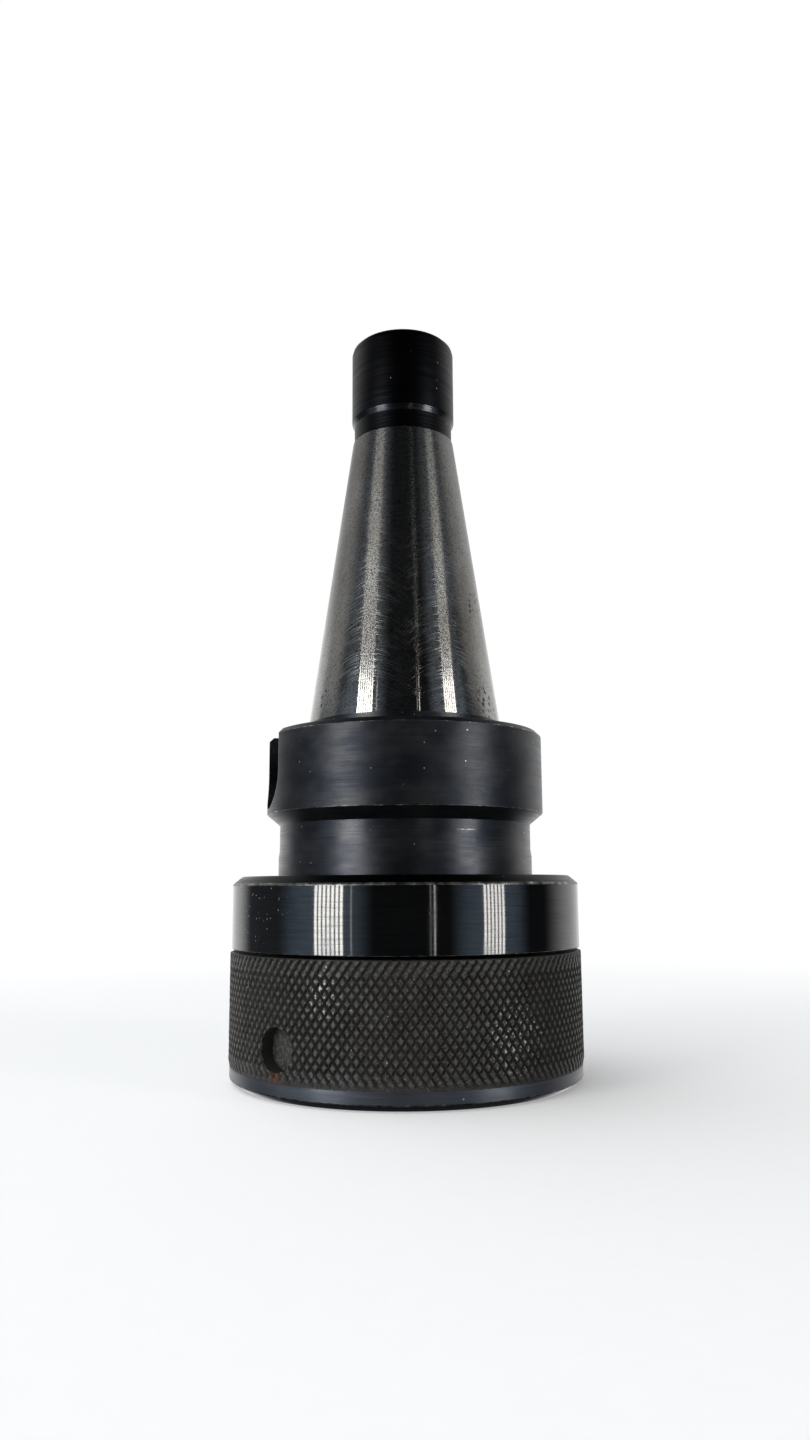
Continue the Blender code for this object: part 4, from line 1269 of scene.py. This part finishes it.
class CHUCK_OT_stage(Operator):
    """Makes the camera, the lamp tubes, the room and the pale floor"""

    bl_idname = "chuck.stage"
    bl_label = "Stage"

    def execute(self, context):
        s = context.scene.chuck_stage
        camera_data = bpy.data.cameras.new("photo_camera")
        camera_data.lens = s.lens
        camera_data.sensor_width = 36.0
        camera_data.clip_start = 0.01
        camera_data.clip_end = 20.0
        camera = bpy.data.objects.new("photo_camera", camera_data)
        context.scene.collection.objects.link(camera)
        camera.matrix_world = (
            Matrix.Translation((s.offset, -s.distance, s.height))
            @ Matrix.Rotation(pi / 2 + s.pitch, 4, "X")
            @ Matrix.Rotation(s.roll, 4, "Z")
        )
        context.scene.camera = camera
        context.scene.view_settings.view_transform = "Standard"
        self.add_lamps(context, s)
        self.add_room(context, s)
        self.add_floor(context, s)
        return {"FINISHED"}

    def add_lamps(self, context, s):
        """Upright lamp tubes that stand in groups round the front of the object"""
        tall = s.lamp_top - s.lamp_bottom
        for index, (heading, share, width) in enumerate(LAMP_TUBES):
            data = bpy.data.lights.new(f"lamp_tube_{index}", "AREA")
            data.shape = "RECTANGLE"
            data.size = radians(width) * s.lamp_distance
            data.size_y = tall
            # A flat lamp's power is its radiance times pi times its area
            data.energy = s.lamp_radiance * share * pi * data.size * data.size_y
            data.color = s.lamp_colour
            lamp = bpy.data.objects.new(f"lamp_tube_{index}", data)
            context.scene.collection.objects.link(lamp)
            lamp.location = on_surface(s.lamp_distance, heading, s.lamp_bottom + tall / 2)
            aim = Vector((-lamp.location.x, -lamp.location.y, 0.0))
            lamp.rotation_mode = "QUATERNION"
            lamp.rotation_quaternion = aim.to_track_quat("-Z", "Y")
            lamp.visible_camera = False

    def add_room(self, context, s):
        """White background for the eye, and for metal a dark room with soft lights"""
        world = bpy.data.worlds.new("studio_room")
        world.use_nodes = True
        world.cycles.sampling_method = "NONE"
        context.scene.world = world
        tree = world.node_tree
        direction = add_node(tree, "TexCoord", output="Generated")
        level = add_node(tree, "VectorMath", {0: direction, 1: (1.0, 1.0, 0.0)}, operation="MULTIPLY")
        around = add_node(tree, "VectorMath", {0: level}, operation="NORMALIZE")
        axes = add_node(tree, "SeparateXYZ", {0: direction}).node.outputs

        lights = (0.0, 0.0, 0.0)
        for heading, full, gone, sine_full, sine_gone, strength, code in SOFT_LIGHTS:
            aim = on_surface(1.0, heading, 0.0)
            lobe = add_node(tree, "VectorMath", {0: around, 1: aim}, "Value", operation="DOT_PRODUCT")
            ends = {0: lobe, 1: cos(radians(gone)), 2: cos(radians(full))}
            lobe = add_node(tree, "MapRange", ends, interpolation_type="SMOOTHSTEP")
            ends = {0: axes["Z"], 1: sine_gone, 2: sine_full}
            belt = add_node(tree, "MapRange", ends, interpolation_type="SMOOTHSTEP")
            lobe = add_node(tree, "Math", {0: lobe, 1: belt}, operation="MULTIPLY")
            tint = [strength * channel for channel in linear(code)]
            lights = add_node(tree, "VectorMath", {0: lobe, 1: tint, 2: lights}, operation="MULTIPLY_ADD")
        # No soft light stands overhead or underfoot, so faces that look up or down stay dark
        for gone, full in ((0.85, 0.60), (-0.60, -0.15)):
            ends = {0: axes["Z"], 1: gone, 2: full}
            belt = add_node(tree, "MapRange", ends, interpolation_type="SMOOTHSTEP")
            lights = add_node(tree, "VectorMath", {0: lights, "Scale": belt}, operation="SCALE")
        lights = add_node(tree, "VectorMath", {0: lights, "Scale": s.softbox}, operation="SCALE")
        # The dark room is half as light again at the level of the eye
        dark = add_node(tree, "MapRange", {0: axes["Z"], 2: 0.35, 3: 1.5 * s.room_dark, 4: s.room_dark})
        dark = add_node(tree, "VectorMath", {0: s.dark_colour, "Scale": dark}, operation="SCALE")
        metal_sees = add_node(tree, "VectorMath", {0: lights, 1: dark}, operation="ADD")

        # Windows at the left make that side lighter
        soft = {0: axes["X"], 1: 0.45, 2: -0.70, 3: 0.06 * s.room_light, 4: 2.2 * s.room_light}
        soft = add_node(tree, "MapRange", soft, interpolation_type="SMOOTHSTEP")
        soft = add_node(tree, "VectorMath", {0: s.room_colour, "Scale": soft}, operation="SCALE")
        rays = add_node(tree, "LightPath").node.outputs
        metal = {0: rays["Is Glossy Ray"], 1: rays["Is Transmission Ray"]}
        metal = add_node(tree, "Math", metal, operation="MAXIMUM")
        seen = soft
        for mask, over in ((metal, metal_sees), (rays["Is Camera Ray"], (1.0, 1.0, 1.0))):
            seen = add_node(tree, "Mix", {0: mask, 6: seen, 7: over}, 2, data_type="RGBA")
        tree.links.new(seen, tree.nodes["Background"].inputs["Color"])

    def add_floor(self, context, s):
        """Round pale floor that goes down with the nut and the collet, on which the holder stands"""
        builder = bmesh.new()
        shares, facets = (0.02, 0.1, 0.35, 1.0), 64
        rings = [add_ring(builder, s.floor_size * share, 0.0, facets) for share in shares]
        builder.faces.new(rings[0])
        for ring, following in zip(rings, rings[1:]):
            bridge(builder, ring, following, 0)
        mesh = finish_mesh("floor", builder, ("pale_floor",))
        for polygon in mesh.polygons:
            if polygon.normal.z < 0:
                polygon.flip()
        floor = bpy.data.objects.new("floor", mesh)
        context.scene.collection.objects.link(floor)
        floor.visible_glossy = False
        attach(floor, "collet_set")


class CHUCK_PT_panel(Panel):
    """Lists the operators and the sizes in the sidebar"""

    bl_idname = "CHUCK_PT_panel"
    bl_label = "Collet Chuck"
    bl_space_type = "VIEW_3D"
    bl_region_type = "UI"
    bl_category = "Collet Chuck"

    def draw(self, context):
        for operator in OPERATORS:
            self.layout.operator(operator.bl_idname)
        for group in (getattr(context.scene, name) for name in GROUPS):
            box = self.layout.box()
            for name in group.bl_rna.properties.keys():
                if name not in {"rna_type", "name"}:
                    box.prop(group, name)


GROUPS = {
    "chuck_holder": HolderSizes,
    "chuck_nut": NutSizes,
    "chuck_collet": ColletSizes,
    "chuck_colours": FinishColours,
    "chuck_stage": StageSettings,
}
OPERATORS = (
    CHUCK_OT_finishes,
    CHUCK_OT_stage,
    CHUCK_OT_holder_body,
    CHUCK_OT_rear_collar,
    CHUCK_OT_closing_nut,
    CHUCK_OT_nose_ring,
    CHUCK_OT_collet,
    CHUCK_OT_small_parts,
)


def register():
    for made in (*GROUPS.values(), *OPERATORS, CHUCK_PT_panel):
        bpy.utils.register_class(made)
    for name, group in GROUPS.items():
        setattr(bpy.types.Scene, name, PointerProperty(type=group))


def unregister():
    for name in GROUPS:
        delattr(bpy.types.Scene, name)
    for made in (CHUCK_PT_panel, *reversed(OPERATORS), *reversed(GROUPS.values())):
        bpy.utils.unregister_class(made)


def main():
    register()
    for operator in OPERATORS:
        family, name = operator.bl_idname.split(".")
        getattr(getattr(bpy.ops, family), name)()


if __name__ == "__main__":
    main()
